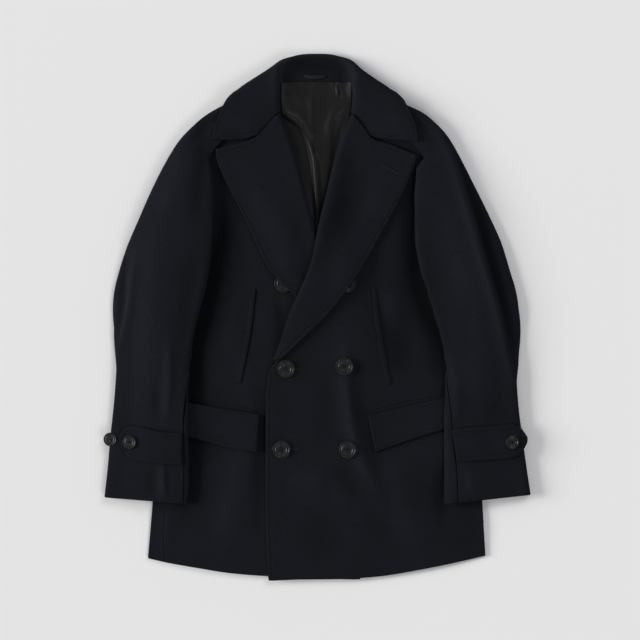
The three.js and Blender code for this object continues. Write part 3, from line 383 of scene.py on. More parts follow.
@dataclass(frozen=True)
class Melton(Finish):
    """Wool melton, milled and brushed: the nap hides the weave and catches a pale fuzz of light.

    It is painted darker in the hollows of the folds and paler where the cloth stands proud: painted shade and
    painted light that follow the relief. The tufts of its nap are drawn coarser than real ones, which are
    about 0.2 mm, so that the coat doesn't look like paint from the camera's distance.
    """

    name: str = "wool_melton_brushed"
    deep: str = "#121317"
    worn: str = "#1b1d23"
    # Near-black painted shade inside the cut slits
    slit_shade: str = "#040405"
    fuzz: str = "#b9bccb"
    nap_mm: float = 1.1
    nap_depth_mm: float = 0.5
    cloud_mm: float = 38.0
    cloud_share: float = 0.12
    deep_from: float = 0.34
    worn_from: float = 0.66
    # The colour's scale at hollow_mm and at ridge_mm of relief: painted shade in the hollows, painted light
    # on the ridges
    hollow: float = 0.3
    hollow_mm: float = -6.0
    ridge: float = 1.45
    ridge_mm: float = 5.0
    groove_half_mm: float = 1.9
    groove_depth_mm: float = 0.65
    slit_half_mm: float = 1.3
    seam_half_mm: float = 1.6
    cut_depth_mm: float = 1.1

    def shade(self, graph: NodeGraph) -> bpy.types.Node:
        """Mixes two navies by fibre, with painted shade in the folds' hollows and painted light on their
        ridges, a nap bump, a pressed stitching groove and cut slits painted near-black as shade.

        Args:
            graph: the node graph of the new material.

        Returns:
            The shader's node.
        """
        place = graph.object_place()
        combed = graph.add("ShaderNodeMapping", {"Vector": place, "Scale": (1.0, 0.45, 1.0)})
        fibre = graph.noise(combed.outputs[0], 1 / (self.nap_mm * MM), 3.0, Roughness=0.65)
        cloud = graph.noise(place, 1 / (self.cloud_mm * MM), 2.0)
        share = graph.add("ShaderNodeMix", {"Factor": self.cloud_share, "A": fibre, "B": cloud})
        ramp = graph.ramp(share.outputs[0], (self.deep_from, self.deep), (self.worn_from, self.worn))
        # Painted shade and light: the colour is scaled down in the folds' hollows and up on their ridges
        painted_relief_shade = graph.add(
            "ShaderNodeMapRange",
            {"Value": graph.attribute("relief_mm"), "From Min": self.hollow_mm, "From Max": self.ridge_mm,
             "To Min": self.hollow, "To Max": self.ridge},
        )
        navy_with_painted_shade = graph.add("ShaderNodeVectorMath", {0: ramp, "Scale": painted_relief_shade.outputs[0]}, operation="SCALE")
        nap = graph.bump(fibre, 0.35, self.nap_depth_mm)
        pressed = graph.bump(self.groove(graph), 1.0, self.groove_depth_mm, nap)
        slit = self.cuts(graph, ("slit",), self.slit_half_mm)
        seam = self.cuts(graph, ("seam", "side"), self.seam_half_mm)
        cut = graph.bump(graph.math("MULTIPLY", slit, seam), 1.0, self.cut_depth_mm, pressed)
        # Painted shade: the slits are coloured near-black, as the shadow inside the opening
        shaded = graph.add(
            "ShaderNodeMixRGB",
            {"Fac": slit, "Color1": linear(self.slit_shade), "Color2": navy_with_painted_shade.outputs["Vector"]},
        )
        return graph.add(
            "ShaderNodeBsdfPrincipled",
            {
                "Base Color": shaded.outputs["Color"],
                "Roughness": 0.95,
                "Specular IOR Level": 0.06,
                "Sheen Weight": 0.03,
                "Sheen Roughness": 0.5,
                "Sheen Tint": linear(self.fuzz),
                "Normal": cut,
            },
        )

    def groove(self, graph: NodeGraph) -> bpy.types.NodeSocket:
        """The trough of the edge stitching: 1 on the cloth and 0 along the stitched line."""
        away = graph.math("SUBTRACT", graph.attribute("edge_mm"), STITCH_INSET_MM)
        return graph.trough(graph.math("ABSOLUTE", away), self.groove_half_mm)


@dataclass(frozen=True)
class Satin(Finish):
    """Viscose satin lining: long floats shine across the folds and stay black in the hollows.

    The floats are drawn wider than real ones, which are about 0.1 mm.
    """

    name: str = "viscose_satin_lining"
    colour: str = "#080809"
    float_mm: float = 0.7
    float_depth_mm: float = 0.2
    ripples_per_m: float = 55.0
    ripple_depth_mm: float = 2.0

    def shade(self, graph: NodeGraph) -> bpy.types.Node:
        """A dark glossy cloth with fine lines along its warp.

        Args:
            graph: the node graph of the new material.

        Returns:
            The shader's node.
        """
        place = graph.object_place()
        drawn = graph.add("ShaderNodeMapping", {"Vector": place, "Scale": (1.0, 0.06, 1.0)})
        floats = graph.noise(drawn.outputs[0], 1 / (self.float_mm * MM), 2.0)
        ripple = graph.noise(place, self.ripples_per_m, 3.0)
        gloss = graph.add("ShaderNodeMapRange", {"Value": ripple, "To Min": 0.4, "To Max": 0.54})
        fine = graph.bump(floats, 0.15, self.float_depth_mm)
        soft = graph.bump(ripple, 0.3, self.ripple_depth_mm, fine)
        return graph.add(
            "ShaderNodeBsdfPrincipled",
            {
                "Base Color": linear(self.colour),
                "Roughness": gloss.outputs[0],
                "Specular IOR Level": 0.26,
                "Normal": soft,
            },
        )


@dataclass(frozen=True)
class Horn(Finish):
    """Horn-look polyester resin, turned and tumbled: faint streaks under a soft polish."""

    name: str = "resin_button_tumbled"
    dark: str = "#101011"
    streak: str = "#1d1b19"
    veins_per_m: float = 260.0
    marks_per_m: float = 1400.0
    mark_depth_mm: float = 0.1

    def shade(self, graph: NodeGraph) -> bpy.types.Node:
        """Streaked brown-black with a soft gloss.

        Args:
            graph: the node graph of the new material.

        Returns:
            The shader's node.
        """
        place = graph.object_place()
        drawn = graph.add(
            "ShaderNodeMapping", {"Vector": place, "Scale": (1.0, 0.3, 1.0), "Rotation": (0, 0, 0.5)}
        )
        veins = graph.noise(drawn.outputs[0], self.veins_per_m, 5.0)
        tumbled = graph.noise(place, self.marks_per_m, 2.0)
        return graph.add(
            "ShaderNodeBsdfPrincipled",
            {
                "Base Color": graph.ramp(veins, (0.42, self.dark), (0.72, self.streak)),
                "Roughness": 0.3,
                "Specular IOR Level": 0.42,
                "Normal": graph.bump(tumbled, 0.12, self.mark_depth_mm),
            },
        )


@dataclass(frozen=True)
class Thread(Finish):
    """Twisted polyester thread and tape: a hard dark yarn with a slight shine.

    The wave texture's own length is one turn, so its scale is the turns per metre over a full turn.
    """

    name: str = "twisted_sewing_thread"
    colour: str = "#16171c"
    twist_mm: float = 0.5
    full_turn: float = 6.28
    slant_degrees: float = 35.0
    twist_depth_mm: float = 0.2
    roughness: float = 0.6

    def shade(self, graph: NodeGraph) -> bpy.types.Node:
        """A dark yarn with a fine slanted twist.

        Args:
            graph: the node graph of the new material.

        Returns:
            The shader's node.
        """
        place = graph.object_place()
        slanted = graph.add(
            "ShaderNodeMapping", {"Vector": place, "Rotation": (0.0, 0.0, math.radians(self.slant_degrees))}
        )
        scale = 1 / (self.twist_mm * MM) / self.full_turn
        twist = graph.add(
            "ShaderNodeTexWave", {"Vector": slanted.outputs[0], "Scale": scale, "Distortion": 1.0}
        )
        ridge = graph.bump(twist.outputs["Fac"], 0.4, self.twist_depth_mm)
        return graph.add(
            "ShaderNodeBsdfPrincipled",
            {
                "Base Color": linear(self.colour),
                "Roughness": self.roughness,
                "Specular IOR Level": 0.1,
                "Normal": ridge,
            },
        )


GIMP = Thread("buttonhole_gimp_thread", "#222329")
TWILL = Thread("woven_twill_tape", "#1b1c21")


@dataclass(frozen=True)
class Paper(Finish):
    """The pale matt sheet that the coat lies on."""

    name: str = "matt_backdrop_paper"
    colour: str = "#edecec"
    teeth_per_m: float = 700.0
    tooth_depth_mm: float = 0.3

    def shade(self, graph: NodeGraph) -> bpy.types.Node:
        """An even matt surface with a barely visible tooth.

        Args:
            graph: the node graph of the new material.

        Returns:
            The shader's node.
        """
        tooth = graph.noise(graph.object_place(), self.teeth_per_m, 2.0)
        bump = graph.bump(tooth, 0.04, self.tooth_depth_mm)
        return graph.add(
            "ShaderNodeBsdfPrincipled",
            {"Base Color": linear(self.colour), "Roughness": 0.95, "Specular IOR Level": 0.1,
             "Normal": bump},
        )


# The way the cloth lies


@dataclass(frozen=True)
class Fold:
    """A soft ridge, or a trough where the height is negative, that runs along a spine.

    Width and height are in millimetres. A lean widens the side on the spine's left and narrows the other.
    """

    spine: Plan
    width: float
    height: float
    lean: float = 0.0
    step: float = 12.0
    end_share: float = 0.02
    fullness: float = 0.7

    def raise_at(self, points: np.ndarray) -> np.ndarray:
        """The height in millimetres that the fold adds at plan points.

        Args:
            points: plan points in millimetres.

        Returns:
            One height for each point.
        """
        away, share, side = distance_to(points, rounded_line(self.spine, self.step))
        width = self.width * (1.0 + self.lean * side)
        taper = np.sin(np.pi * np.clip(share, self.end_share, 1 - self.end_share)) ** self.fullness
        return self.height * taper * np.exp(-((away / width) ** 2))


@dataclass
class Drape:
    """All the soft forms of the coat. Layers that lie on each other are raised together."""

    folds: Sequence[Fold]
    unevenness: float = 0.35
    full_height: float = 9.0
    hem: Plan = ()
    hem_reach: float = 60.0
    hem_share: float = 0.5
    back_height: float = 3.0

    def relief(self, points: np.ndarray) -> np.ndarray:
        """The height in millimetres that the folds add at plan points.

        Args:
            points: plan points in millimetres.

        Returns:
            One height for each point.
        """
        total = np.zeros(len(points))
        for fold in self.folds:
            total += fold.raise_at(points)
        return total

    def heights(self, points: np.ndarray) -> np.ndarray:
        """The height in millimetres that the folds and the cloth's unevenness add at plan points.

        The unevenness is three slow waves whose lengths in millimetres share no common measure, so that
        no bump comes back at an even distance.

        Args:
            points: plan points in millimetres.

        Returns:
            One height for each point.
        """
        x, y = points[:, 0], points[:, 1]
        waves = (
            np.sin(x / 23.0 + 1.3 * np.sin(y / 61.0)) * np.sin(y / 37.0 + 0.7)
            + 0.8 * np.sin(x / 41.0 - y / 29.0 + 2.1)
            + 0.5 * np.sin(x / 13.0 + y / 17.0) * np.sin(y / 53.0 - x / 71.0)
        )
        return self.relief(points) + self.unevenness * waves

    def apply(self, mesh: bpy.types.Mesh) -> None:
        """Raises a mesh by the folds, and leaves what touches the table where it is.

        Args:
            mesh: the mesh whose points are raised.
        """
        places = places_of(mesh)
        plan = to_plan(places)
        weight = smooth(places[:, 2] / MM / self.full_height) if self.full_height > 0 else 1.0
        places[:, 2] += self.heights(plan) * weight * MM
        if len(self.hem):
            self.settle_hem(places, plan)
        mesh.vertices.foreach_set("co", places.ravel())
        mesh.update()

    def settle_hem(self, places: np.ndarray, plan: np.ndarray) -> None:
        """Lets the fronts sink towards the back along the hem, and keeps their order.

        Args:
            places: the mesh's points in metres, which are changed.
            plan: their plan places in millimetres.
        """
        away, _, _ = distance_to(plan, np.asarray(self.hem, float))
        share = self.hem_share + (1 - self.hem_share) * smooth(away / self.hem_reach)
        above = places[:, 2] / MM - self.back_height
        sunk = self.back_height + above * share
        places[:, 2] = np.where(above > 0, sunk * MM, places[:, 2])


HEM_LINE = ((-274, -386), (-187, -402), (-83, -414), (70, -420), (149, -407), (274, -382))

COAT_FOLDS = (
    # The over front is raised along the hidden edge of the under front, and sinks beyond it
    Fold(((44, -20), (45, -68), (48, -116), (52, -154), (62, -198), (76, -237), (91, -266), (104, -300)),
         11.0, 3.6, -0.3),
    Fold(((66, -60), (70, -120), (78, -170), (92, -215), (112, -260)), 13.0, -2.4),
    Fold(((30, -235), (52, -262), (72, -290)), 14.0, -2.2),
    Fold(((24, -60), (16, -140), (12, -210)), 18.0, -1.2),
    Fold(((-40, -250), (-10, -268), (20, -276)), 30.0, 2.2),
    Fold(((8, -310), (12, -350), (10, -400)), 22.0, -1.2),
    Fold(((-114, -200), (-128, -260), (-146, -330), (-152, -390)), 19.0, 2.2),
    Fold(((-62, 32), (-56, 2), (-58, -28), (-66, -56)), 9.0, -2.6),
    Fold(((-118, -40), (-114, -90), (-110, -130)), 16.0, 1.2),
    Fold(((112, 76), (122, 20), (132, -50)), 15.0, 2.0),
    Fold(((-128, 60), (-136, -10), (-148, -80)), 14.0, 1.4),
    # The chest and the skirts sink between what stands proud
    Fold(((-128, 200), (-132, 120), (-136, 40), (-146, -40), (-160, -110)), 26.0, -2.2),
    Fold(((128, 80), (136, 20), (150, -60)), 22.0, -1.8),
    Fold(((96, 130), (60, 150), (44, 200)), 24.0, -1.3),
    # Soft forms of the skirts
    Fold(((116, -230), (140, -300), (170, -380)), 20.0, 1.6, -0.3),
    Fold(((150, -220), (186, -300), (214, -370)), 20.0, -1.4),
    Fold(((-196, -240), (-214, -310), (-232, -370)), 20.0, -1.6),
    Fold(((-240, -310), (-248, -370)), 12.0, 1.1),
    # The right sleeve: a round top, a ridge from the shoulder, the pressed outer seam and the cuff's folds
    Fold(((-226, 290), (-262, 190), (-276, 70), (-272, -60), (-268, -160)), 34.0, 4.2, -0.2),
    Fold(((-196, 305), (-208, 285), (-222, 250), (-236, 205), (-250, 160)), 14.0, 2.6),
    Fold(((-176, 338), (-180, 310), (-182, 260), (-188, 200), (-194, 140)), 15.0, -3.0),
    Fold(((-292, 110), (-294, 82), (-297, 63), (-301, 26), (-308, -9), (-314, -36), (-322, -60)),
         6.0, 3.2, 0.4),
    Fold(((-304, 110), (-309, 60), (-313, 10), (-320, -30)), 6.0, -2.2),
    Fold(((-196, 120), (-200, 60), (-208, 0), (-216, -90)), 15.0, -1.8),
    Fold(((-236, -30), (-236, -90), (-238, -150), (-240, -168)), 8.5, 3.0, -0.2),
    Fold(((-256, -100), (-256, -160)), 9.0, -1.6),
    Fold(((-245, -232), (-245, -258), (-243, -290)), 7.0, 3.2, -0.3),
    Fold(((-262, -240), (-262, -285)), 8.0, -1.4),
    # The left sleeve: a round top and the outer seam, with the lower strip beyond it
    Fold(((196, 290), (214, 200), (232, 90), (246, -30), (262, -150)), 30.0, 3.2, 0.2),
    Fold(((199, 295), (219, 250), (236, 195), (251, 147), (263, 104), (279, 50), (291, 7), (299, -30),
          (308, -75), (316, -101)), 6.0, 3.4, -0.66),
    Fold(((207, 297), (227, 252), (244, 198), (259, 150), (271, 107), (287, 53), (299, 10), (307, -27),
          (314, -70)), 9.5, -5.4, 0.25),
    Fold(((180, 190), (180, 90), (196, 0), (208, -90)), 12.0, -1.2),
    Fold(((232, 60), (238, -10), (252, -80)), 14.0, -1.2),
    Fold(((216, -60), (222, -120), (222, -168)), 9.0, 2.2),
    Fold(((290, -150), (300, -210), (310, -270)), 14.0, 1.2),
    Fold(((240, -236), (246, -264), (246, -290)), 9.0, 1.6),
    # The lapels bow up from the roll to the edge
    Fold(((-112, 236), (-84, 176), (-52, 112), (-28, 60)), 20.0, 2.0),
    Fold(((-36, 170), (-22, 110), (-6, 60)), 13.0, -1.2),
    Fold(((60, 290), (44, 200), (16, 120), (-8, 60)), 13.0, -1.8),
    Fold(((112, 236), (86, 176), (56, 112), (24, 44)), 19.0, 1.7),
    Fold(((78, 240), (58, 190), (36, 130), (18, 80)), 24.0, -1.1),
    # The collar rolls high beside the neck, and its stand sinks between the rolls
    Fold(((-46, 318), (-59, 345), (-63, 380), (-52, 408), (-24, 424), (24, 424), (48, 410), (58, 380),
          (56, 345), (46, 318)), 11.0, 4.2, 0.35),
    Fold(((-44, 360), (-36, 398), (0, 404), (36, 398), (42, 360)), 15.0, -3.6),
    Fold(((-140, 330), (-116, 304), (-88, 312)), 16.0, 1.4),
    Fold(((134, 330), (112, 302), (86, 312)), 16.0, 1.2),
)

# Each front sinks alone beneath the sleeve that lies on it, and beside the over front's edge
FRONT_VALLEYS = {
    Side.RIGHT: (
        Fold(((-160, 268), (-156, 232), (-154, 200), (-153, 170), (-156, 134), (-164, 99), (-172, 55),
              (-178, 26), (-184, -3), (-197, -47), (-201, -106), (-202, -151), (-200, -264), (-204, -310)),
             19.0, -6.4, 0.25),
        Fold(((-86, -100), (-86, -180), (-87, -235), (-90, -290), (-93, -350)), 11.0, -3.2, -0.25),
    ),
    Side.LEFT: (
        Fold(((160, 250), (158, 222), (156, 192), (156, 135), (158, 107), (162, 64), (176, 13), (190, -22),
              (200, -60), (208, -110)), 16.0, -7.0, -0.2),
        Fold(((120, 10), (134, -50), (150, -96)), 20.0, -2.6),
        Fold(((206, -230), (200, -290), (206, -330)), 13.0, -3.4),
    ),
}

# The lining shines where it is raised: a long fold swings from the right shoulder down to the point
# of the neckline, and the centre pleat opens beside it
LINING_FOLDS = (
    Fold(((-56, 328), (-47, 323), (-34, 314), (-25, 305), (-18, 292), (-12.6, 280), (-9, 267), (-5.4, 253),
          (-3.2, 231), (-1, 200), (2, 140)), 6.0, 5.2, 0.3),
    Fold(((-54, 327), (-44, 321), (-33, 313), (-24, 304)), 4.5, 2.6),
    Fold(((-6.4, 380), (-7.2, 341), (-6.4, 305), (-4.5, 283), (-1, 250)), 4.2, 1.7, -0.72),
    Fold(((-44, 300), (-34, 265), (-24, 225), (-12, 170)), 7.0, -1.6),
    Fold(((4, 306), (5, 284), (6, 256)), 8.0, 1.6),
    Fold(((56, 350), (41, 339), (27, 323), (19, 294), (14, 250)), 7.0, 2.8, -0.2),
    Fold(((52, 334), (42, 314), (34, 286), (26, 250), (18, 200)), 6.0, -1.7),
    Fold(((-8, 282), (-4, 271), (-1, 258)), 2.8, -2.6),
    Fold(((20, 376), (24, 360), (26, 346)), 3.0, 1.2),
    Fold(((30, 377), (33, 362), (34, 350)), 2.6, 2.0),
    Fold(((-34, 374), (-28, 352), (-16, 334)), 8.0, -1.0),
    Fold(((40, 376), (44, 352)), 6.0, -1.2),
)


# Cloth


class Held(Enum):
    """How a piece of cloth is held."""

    LAID = "laid"
    FOLDED = "folded"


@dataclass(frozen=True)
class Gorge:
    """The seam between a collar's leaf and its lapel: both edges are drawn together along a line."""

    cut: Plan
    sewn: Plan
    reach_mm: float = 16.0
    draw_mm: float = 6.5
    draw_share: float = 0.96
    step_mm: float = 3.0

    def close(self, mesh: bpy.types.Mesh) -> None:
        """Moves what lies near the cut edges to the sewn line.

        Args:
            mesh: the mesh of the lapel or the collar.
        """
        places = places_of(mesh)
        plan = to_plan(places)
        line = rounded_line(self.cut, self.step_mm)
        seam = along_line(rounded_line(self.sewn, self.step_mm), np.linspace(0, 1, len(line)))
        away, at, _ = distance_to(plan, line)
        moved = along_line(seam - line, at)
        beside = ((at > 0.0) & (at < 1.0)).astype(float)
        share = self.draw_share * beside * (1 - smooth(away / self.draw_mm))
        drawn = (along_line(line, at) - plan) * share[:, None]
        places[:, :2] += (moved * (1 - smooth(away / self.reach_mm))[:, None] + drawn) * MM
        mesh.vertices.foreach_set("co", places.ravel())


@dataclass
class ClothShell:
    """A piece of cloth: a fine shell over the form of its solid.

    The flat size is the piece's cut of what shows, in metres, and area is the cut's own area.
    """

    node: str
    flat: tuple[float, float]
    area: float
    rests_on: tuple[str, ...]
    held: Held = Held.LAID
    finish: Finish = field(default_factory=Melton)
    slot: str = "melton"
    levels: int = 2
    rim_softness: float = 0.7
    rim_degrees: float = 62.0
    longest_mm: float = 7.0
    stitched: tuple[Plan, ...] = ()
    own_folds: tuple[Fold, ...] = ()
    own_full_height: float = 0.0
    lift_mm: float = 0.0
    grow_mm: tuple[float, float] = (0.0, 0.0)
    bow_mm: float = 0.0
    seams: dict[str, Plan] = field(default_factory=dict)
    gorges: tuple[Gorge, ...] = ()
    own_unevenness: float = 0.12
    merge_mm: float = 0.01
    bow_narrows: float = 0.4
    piece: bpy.types.Object | None = None

    def build(self, frame: dict, drape: Drape) -> None:
        """Makes the shell from its solid, refines it and lays it on the folds.

        Args:
            drape: the soft forms of the coat.
        """
        mesh = frame["nodes"][self.node].data.copy()
        mesh.name = f"{self.node}_cloth"
        mesh.materials.clear()
        self.piece = bpy.data.objects.new(f"{self.node}_cloth", mesh)
        bpy.context.scene.collection.objects.link(self.piece)
        self.restore_grid(mesh)
        self.refine()
        self.shift()
        for gorge in self.gorges:
            gorge.close(self.piece.data)
        drape.apply(self.piece.data)
        own = Drape(self.own_folds, unevenness=self.own_unevenness, full_height=self.own_full_height)
        relief = drape.relief(self.plan()) + own.relief(self.plan())
        if self.own_folds:
            own.apply(self.piece.data)
        # The finish reads this relief to paint shade in the hollows and light on the ridges
        self.store("relief_mm", relief)

    def plan(self) -> np.ndarray:
        """The plan places of the shell's points, in millimetres."""
        return to_plan(places_of(self.piece.data))

    def store(self, name: str, values: np.ndarray) -> None:
        """Stores one number for each point, which the cloth's finish reads."""
        self.piece.data.attributes.new(name, "FLOAT", "POINT").data.foreach_set("value", values)

    def dress(self) -> bpy.types.Object:
        """Returns:
            The finished object, which replaces its solid.
        """
        self.mark_edges()
        self.mark_seams()
        self.piece.data.materials.append(self.finish.make())
        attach(self.piece, BODY)
        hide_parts(self.node)
        return self.piece

    def restore_grid(self, mesh: bpy.types.Mesh) -> None:
        """Merges the loose triangles, joins them to quads and marks the rim as a firm edge.

        Args:
            mesh: the shell's mesh.
        """
        bm = bmesh.new()
        bm.from_mesh(mesh)
        bmesh.ops.remove_doubles(bm, verts=bm.verts, dist=self.merge_mm * MM)
        bmesh.ops.join_triangles(
            bm, faces=bm.faces, angle_face_threshold=math.pi, angle_shape_threshold=math.pi,
            topology_influence=1.5,
        )
        crease = bm.edges.layers.float.new("crease_edge")
        for edge in bm.edges:
            if len(edge.link_faces) == 2 and edge.calc_face_angle() > math.radians(self.rim_degrees):
                edge[crease] = self.rim_softness
        bm.to_mesh(mesh)
        bm.free()

    def refine(self) -> None:
        """Subdivides the shell and then splits what is still long, so that folds can form."""
        modifier = self.piece.modifiers.new("smooth_cloth", "SUBSURF")
        modifier.levels = self.levels
        modifier.render_levels = self.levels
        apply_modifiers(self.piece)
        mesh = self.piece.data
        bm = bmesh.new()
        bm.from_mesh(mesh)
        long_edges = [e for e in bm.edges if e.calc_length() > self.longest_mm * MM]
        bmesh.ops.subdivide_edges(bm, edges=long_edges, cuts=1, use_grid_fill=True)
        bmesh.ops.triangulate(bm, faces=[f for f in bm.faces if len(f.verts) > 4])
        for face in bm.faces:
            face.smooth = True
        bm.to_mesh(mesh)
        bm.free()

    def shift(self) -> None:
        """Lifts, sinks, widens or bows the piece.

        It widens towards its sides and its upper edge. A bowed piece hangs in the middle and is narrow at
        its ends.
        """
        if not self.lift_mm and not any(self.grow_mm) and not self.bow_mm:
            return
        mesh = self.piece.data
        places = places_of(mesh)
        places[:, 2] += self.lift_mm * MM
        low, high = places.min(axis=0), places.max(axis=0)
        share = (places - low) / (high - low)
        places[:, 0] += (share[:, 0] * 2 - 1) * self.grow_mm[0] * MM
        places[:, 1] += share[:, 1] ** 2 * self.grow_mm[1] * MM
        if self.bow_mm:
            end = np.abs(share[:, 0] * 2 - 1)
            middle = (low[1] + high[1]) / 2
            width = 1 - self.bow_narrows * end**3
            places[:, 1] = middle + (places[:, 1] - middle) * width - (1 - end**2) * self.bow_mm * MM
        mesh.vertices.foreach_set("co", places.ravel())

    def mark_edges(self) -> None:
        """Stores how far each point lies from a stitched edge, which the cloth's finish reads."""
        if not self.stitched:
            return
        far, step = 99.0, 8.0
        plan = self.plan()
        nearest = np.full(len(plan), far)
        for line in self.stitched:
            away, share, _ = distance_to(plan, rounded_line(line, step))
            beside = (share > 0.001) & (share < 0.999)
            nearest = np.where(beside, np.minimum(nearest, away), nearest)
        self.store("edge_mm", nearest)

    def mark_seams(self) -> None:
        """Stores the way across and beyond each straight seam, which the cloth's finish reads."""
        plan = self.plan()
        for name, line in self.seams.items():
            start, end = np.asarray(line[0], float), np.asarray(line[-1], float)
            length = np.linalg.norm(end - start)
            way = (end - start) / length
            along = (plan - start) @ way
            across = (plan - start) @ np.array([-way[1], way[0]])
            bow = np.interp(along, *self.seam_bow(line, start, way))
            beyond = np.maximum(-along, along - length)
            self.store(f"{name}_across", across - bow)
            self.store(f"{name}_beyond", beyond)
            self.store(f"{name}_marked", np.ones(len(plan)))

    @staticmethod
    def seam_bow(line: Plan, start: np.ndarray, way: np.ndarray) -> tuple[np.ndarray, np.ndarray]:
        """How far a seam bends aside from its straight way, by the length along it."""
        inner = np.asarray(line, float) - start
        return inner @ way, inner @ np.array([-way[1], way[0]])


def apply_modifiers(obj: bpy.types.Object) -> None:
    """Applies all modifiers of an object.

    Args:
        obj: the object, whose mesh takes the result.
    """
    select_only(obj)
    for modifier in list(obj.modifiers):
        bpy.ops.object.modifier_apply(modifier=modifier.name)


def select_only(obj: bpy.types.Object) -> None:
    """Selects one object alone and makes it active.

    Args:
        obj: the object.
    """
    bpy.ops.object.select_all(action="DESELECT")
    obj.select_set(True)
    bpy.context.view_layer.objects.active = obj


class Surface:
    """The upper face of a finished piece, for seating what lies on it."""

    def __init__(self, piece: bpy.types.Object) -> None:
        """Keeps a search tree of the piece's faces.

        Args:
            piece: the finished piece.
        """
        mesh = piece.data
        corners = [vertex.co.copy() for vertex in mesh.vertices]
        self.tree = BVHTree.FromPolygons(corners, [tuple(p.vertices) for p in mesh.polygons])

    def height(self, x: float, y: float) -> float | None:
        """The highest point straight below a place, in metres, or None where nothing lies."""
        hit = self.tree.ray_cast(Vector((x, y, HIGH_ABOVE)), -UP)[0]
        return None if hit is None else hit.z


# Outlines in millimetres, on the drafting plan

LAPEL_OUTLINE = {
    Side.RIGHT: ((-97, 289), (-116, 280), (-146, 273), (-160, 268), (-162, 256), (-162, 242), (-154, 220),
                 (-138, 194), (-118, 161), (-101, 126), (-86, 92), (-67, 65), (-34, 33), (-8, 6), (32, -42)),
    Side.LEFT: ((86, 286), (120, 276), (142, 266), (157, 259), (160, 250), (160, 241), (148, 216), (125, 170),
                (98, 124), (67, 70), (46, 41), (18, 6), (-6, -18), (-31, -42), (-57, -66)),
}
COLLAR_OUTLINE = {
    Side.RIGHT: ((-97, 292), (-114, 286), (-139, 284), (-165, 285), (-165, 304), (-157, 325), (-144, 346)),
    Side.LEFT: ((87, 289), (109, 286), (133, 284), (159, 282), (161, 304), (152, 325), (138, 346)),
}
FRONT_EDGE = {
    Side.RIGHT: ((73, -66), (72, -180), (70, -420)),
    Side.LEFT: ((-77, -78), (-81, -110), (-82, -180), (-82, -260), (-82, -340), (-78, -422)),
}
FLAP_OUTLINE = {
    Side.RIGHT: ((-200, -137.5), (-92, -155), (-96, -215), (-134, -209), (-200, -190)),
    Side.LEFT: ((199, -130), (81, -157), (93, -215), (149, -196), (200, -180)),
}
STRAP_OUTLINE = {
    Side.RIGHT: ((-216, -184), (-243, -183), (-267, -178), (-291, -174), (-304, -175), (-312, -184),
                 (-317, -193), (-311, -209), (-303, -221), (-290, -226), (-267, -231), (-243, -234),
                 (-216, -235)),
    Side.LEFT: ((215, -179), (245, -176), (277, -174), (301, -172), (319, -171), (329, -181), (336, -195),
                (329, -213), (320, -222), (301, -225), (278, -227), (247, -229), (223, -229)),
}
# The slit of the hand-warmer pocket, the seam above the flap and the side seam that shows by the hem
FRONT_SEAMS = {
    Side.RIGHT: {"slit": ((-97, 46), (-105, -30), (-121, -100)),
                 "seam": ((-204, -131), (-148, -138), (-91, -150)),
                 "side": ((-244, -313), (-245.5, -352), (-243.5, -396))},
    Side.LEFT: {"slit": ((86, 50), (96, -30), (112, -106)),
                "seam": ((202, -124), (140, -136), (78, -152))},
}
GORGES = {
    Side.RIGHT: Gorge(((-58, 327), (-72, 322), (-84, 304.5), (-97, 289)),
                      ((-58, 328), (-72, 317), (-84, 303), (-97, 289))),
    Side.LEFT: Gorge(((54, 327), (67, 317), (80, 295), (86, 286)),
                     ((54, 327), (65, 316), (76, 301), (86, 286))),
}


@dataclass
class ClothGroup:
    """A sub-assembly of cloth pieces."""

    shells: list[ClothShell] = field(default_factory=list, init=False)

    def pieces(self) -> list[ClothShell]:
        """Names the pieces with the sizes they are cut to."""
        raise NotImplementedError

    def build(self, frame: dict, drape: Drape) -> None:
        """Models every piece on its solid.

        Args:
            drape: the soft forms of the coat.
        """
        self.shells = self.pieces()
        for shell in self.shells:
            shell.build(frame, drape)

    def dress(self) -> dict[str, bpy.types.Object]:
        """Gives every piece its finish.

        Returns:
            The finished pieces by node.
        """
        dressed = {}
        for shell in self.shells:
            dressed[shell.node] = shell.dress()
            triangles = sum(len(polygon.vertices) - 2 for polygon in shell.piece.data.polygons)
            LOG.info("%s: %d triangles", shell.piece.name, triangles)
        return dressed


@dataclass
class Body(ClothGroup):
    """The back, the lining that shows and the two fronts, with cuts in metres and square metres."""

    back_cut: tuple[float, float] = (0.275, 0.790)
    back_area: float = 0.172
    lining_cut: tuple[float, float] = (0.130, 0.270)
    lining_area: float = 0.0235
    under_front_cut: tuple[float, float] = (0.350, 0.760)
    under_front_area: float = 0.200
    over_front_cut: tuple[float, float] = (0.356, 0.762)
    over_front_area: float = 0.203
    full_height: float = 9.0

    def pieces(self) -> list[ClothShell]:
        """Names the pieces with the sizes they are cut to.

        Returns:
            One shell for each piece.
        """
        lining = ClothShell(
            "lining_back", self.lining_cut, self.lining_area, ("back_left", "back_right"), finish=Satin(),
            slot="lining", levels=3, longest_mm=1.3, own_folds=LINING_FOLDS, grow_mm=(3.2, 6.5),
        )
        fronts = [
            ClothShell(
                f"front_{side.label}", cut, area, under, stitched=(FRONT_EDGE[side],), longest_mm=5.0,
                seams=FRONT_SEAMS[side], own_folds=FRONT_VALLEYS[side], own_full_height=self.full_height,
            )
            for side, cut, area, under in (
                (Side.RIGHT, self.under_front_cut, self.under_front_area, ("back_right",)),
                (Side.LEFT, self.over_front_cut, self.over_front_area, ("front_right", "lapel_right")),
            )
        ]
        backs = [ClothShell(f"back_{side.label}", self.back_cut, self.back_area, ()) for side in Side]
        return [*backs, lining, *fronts]


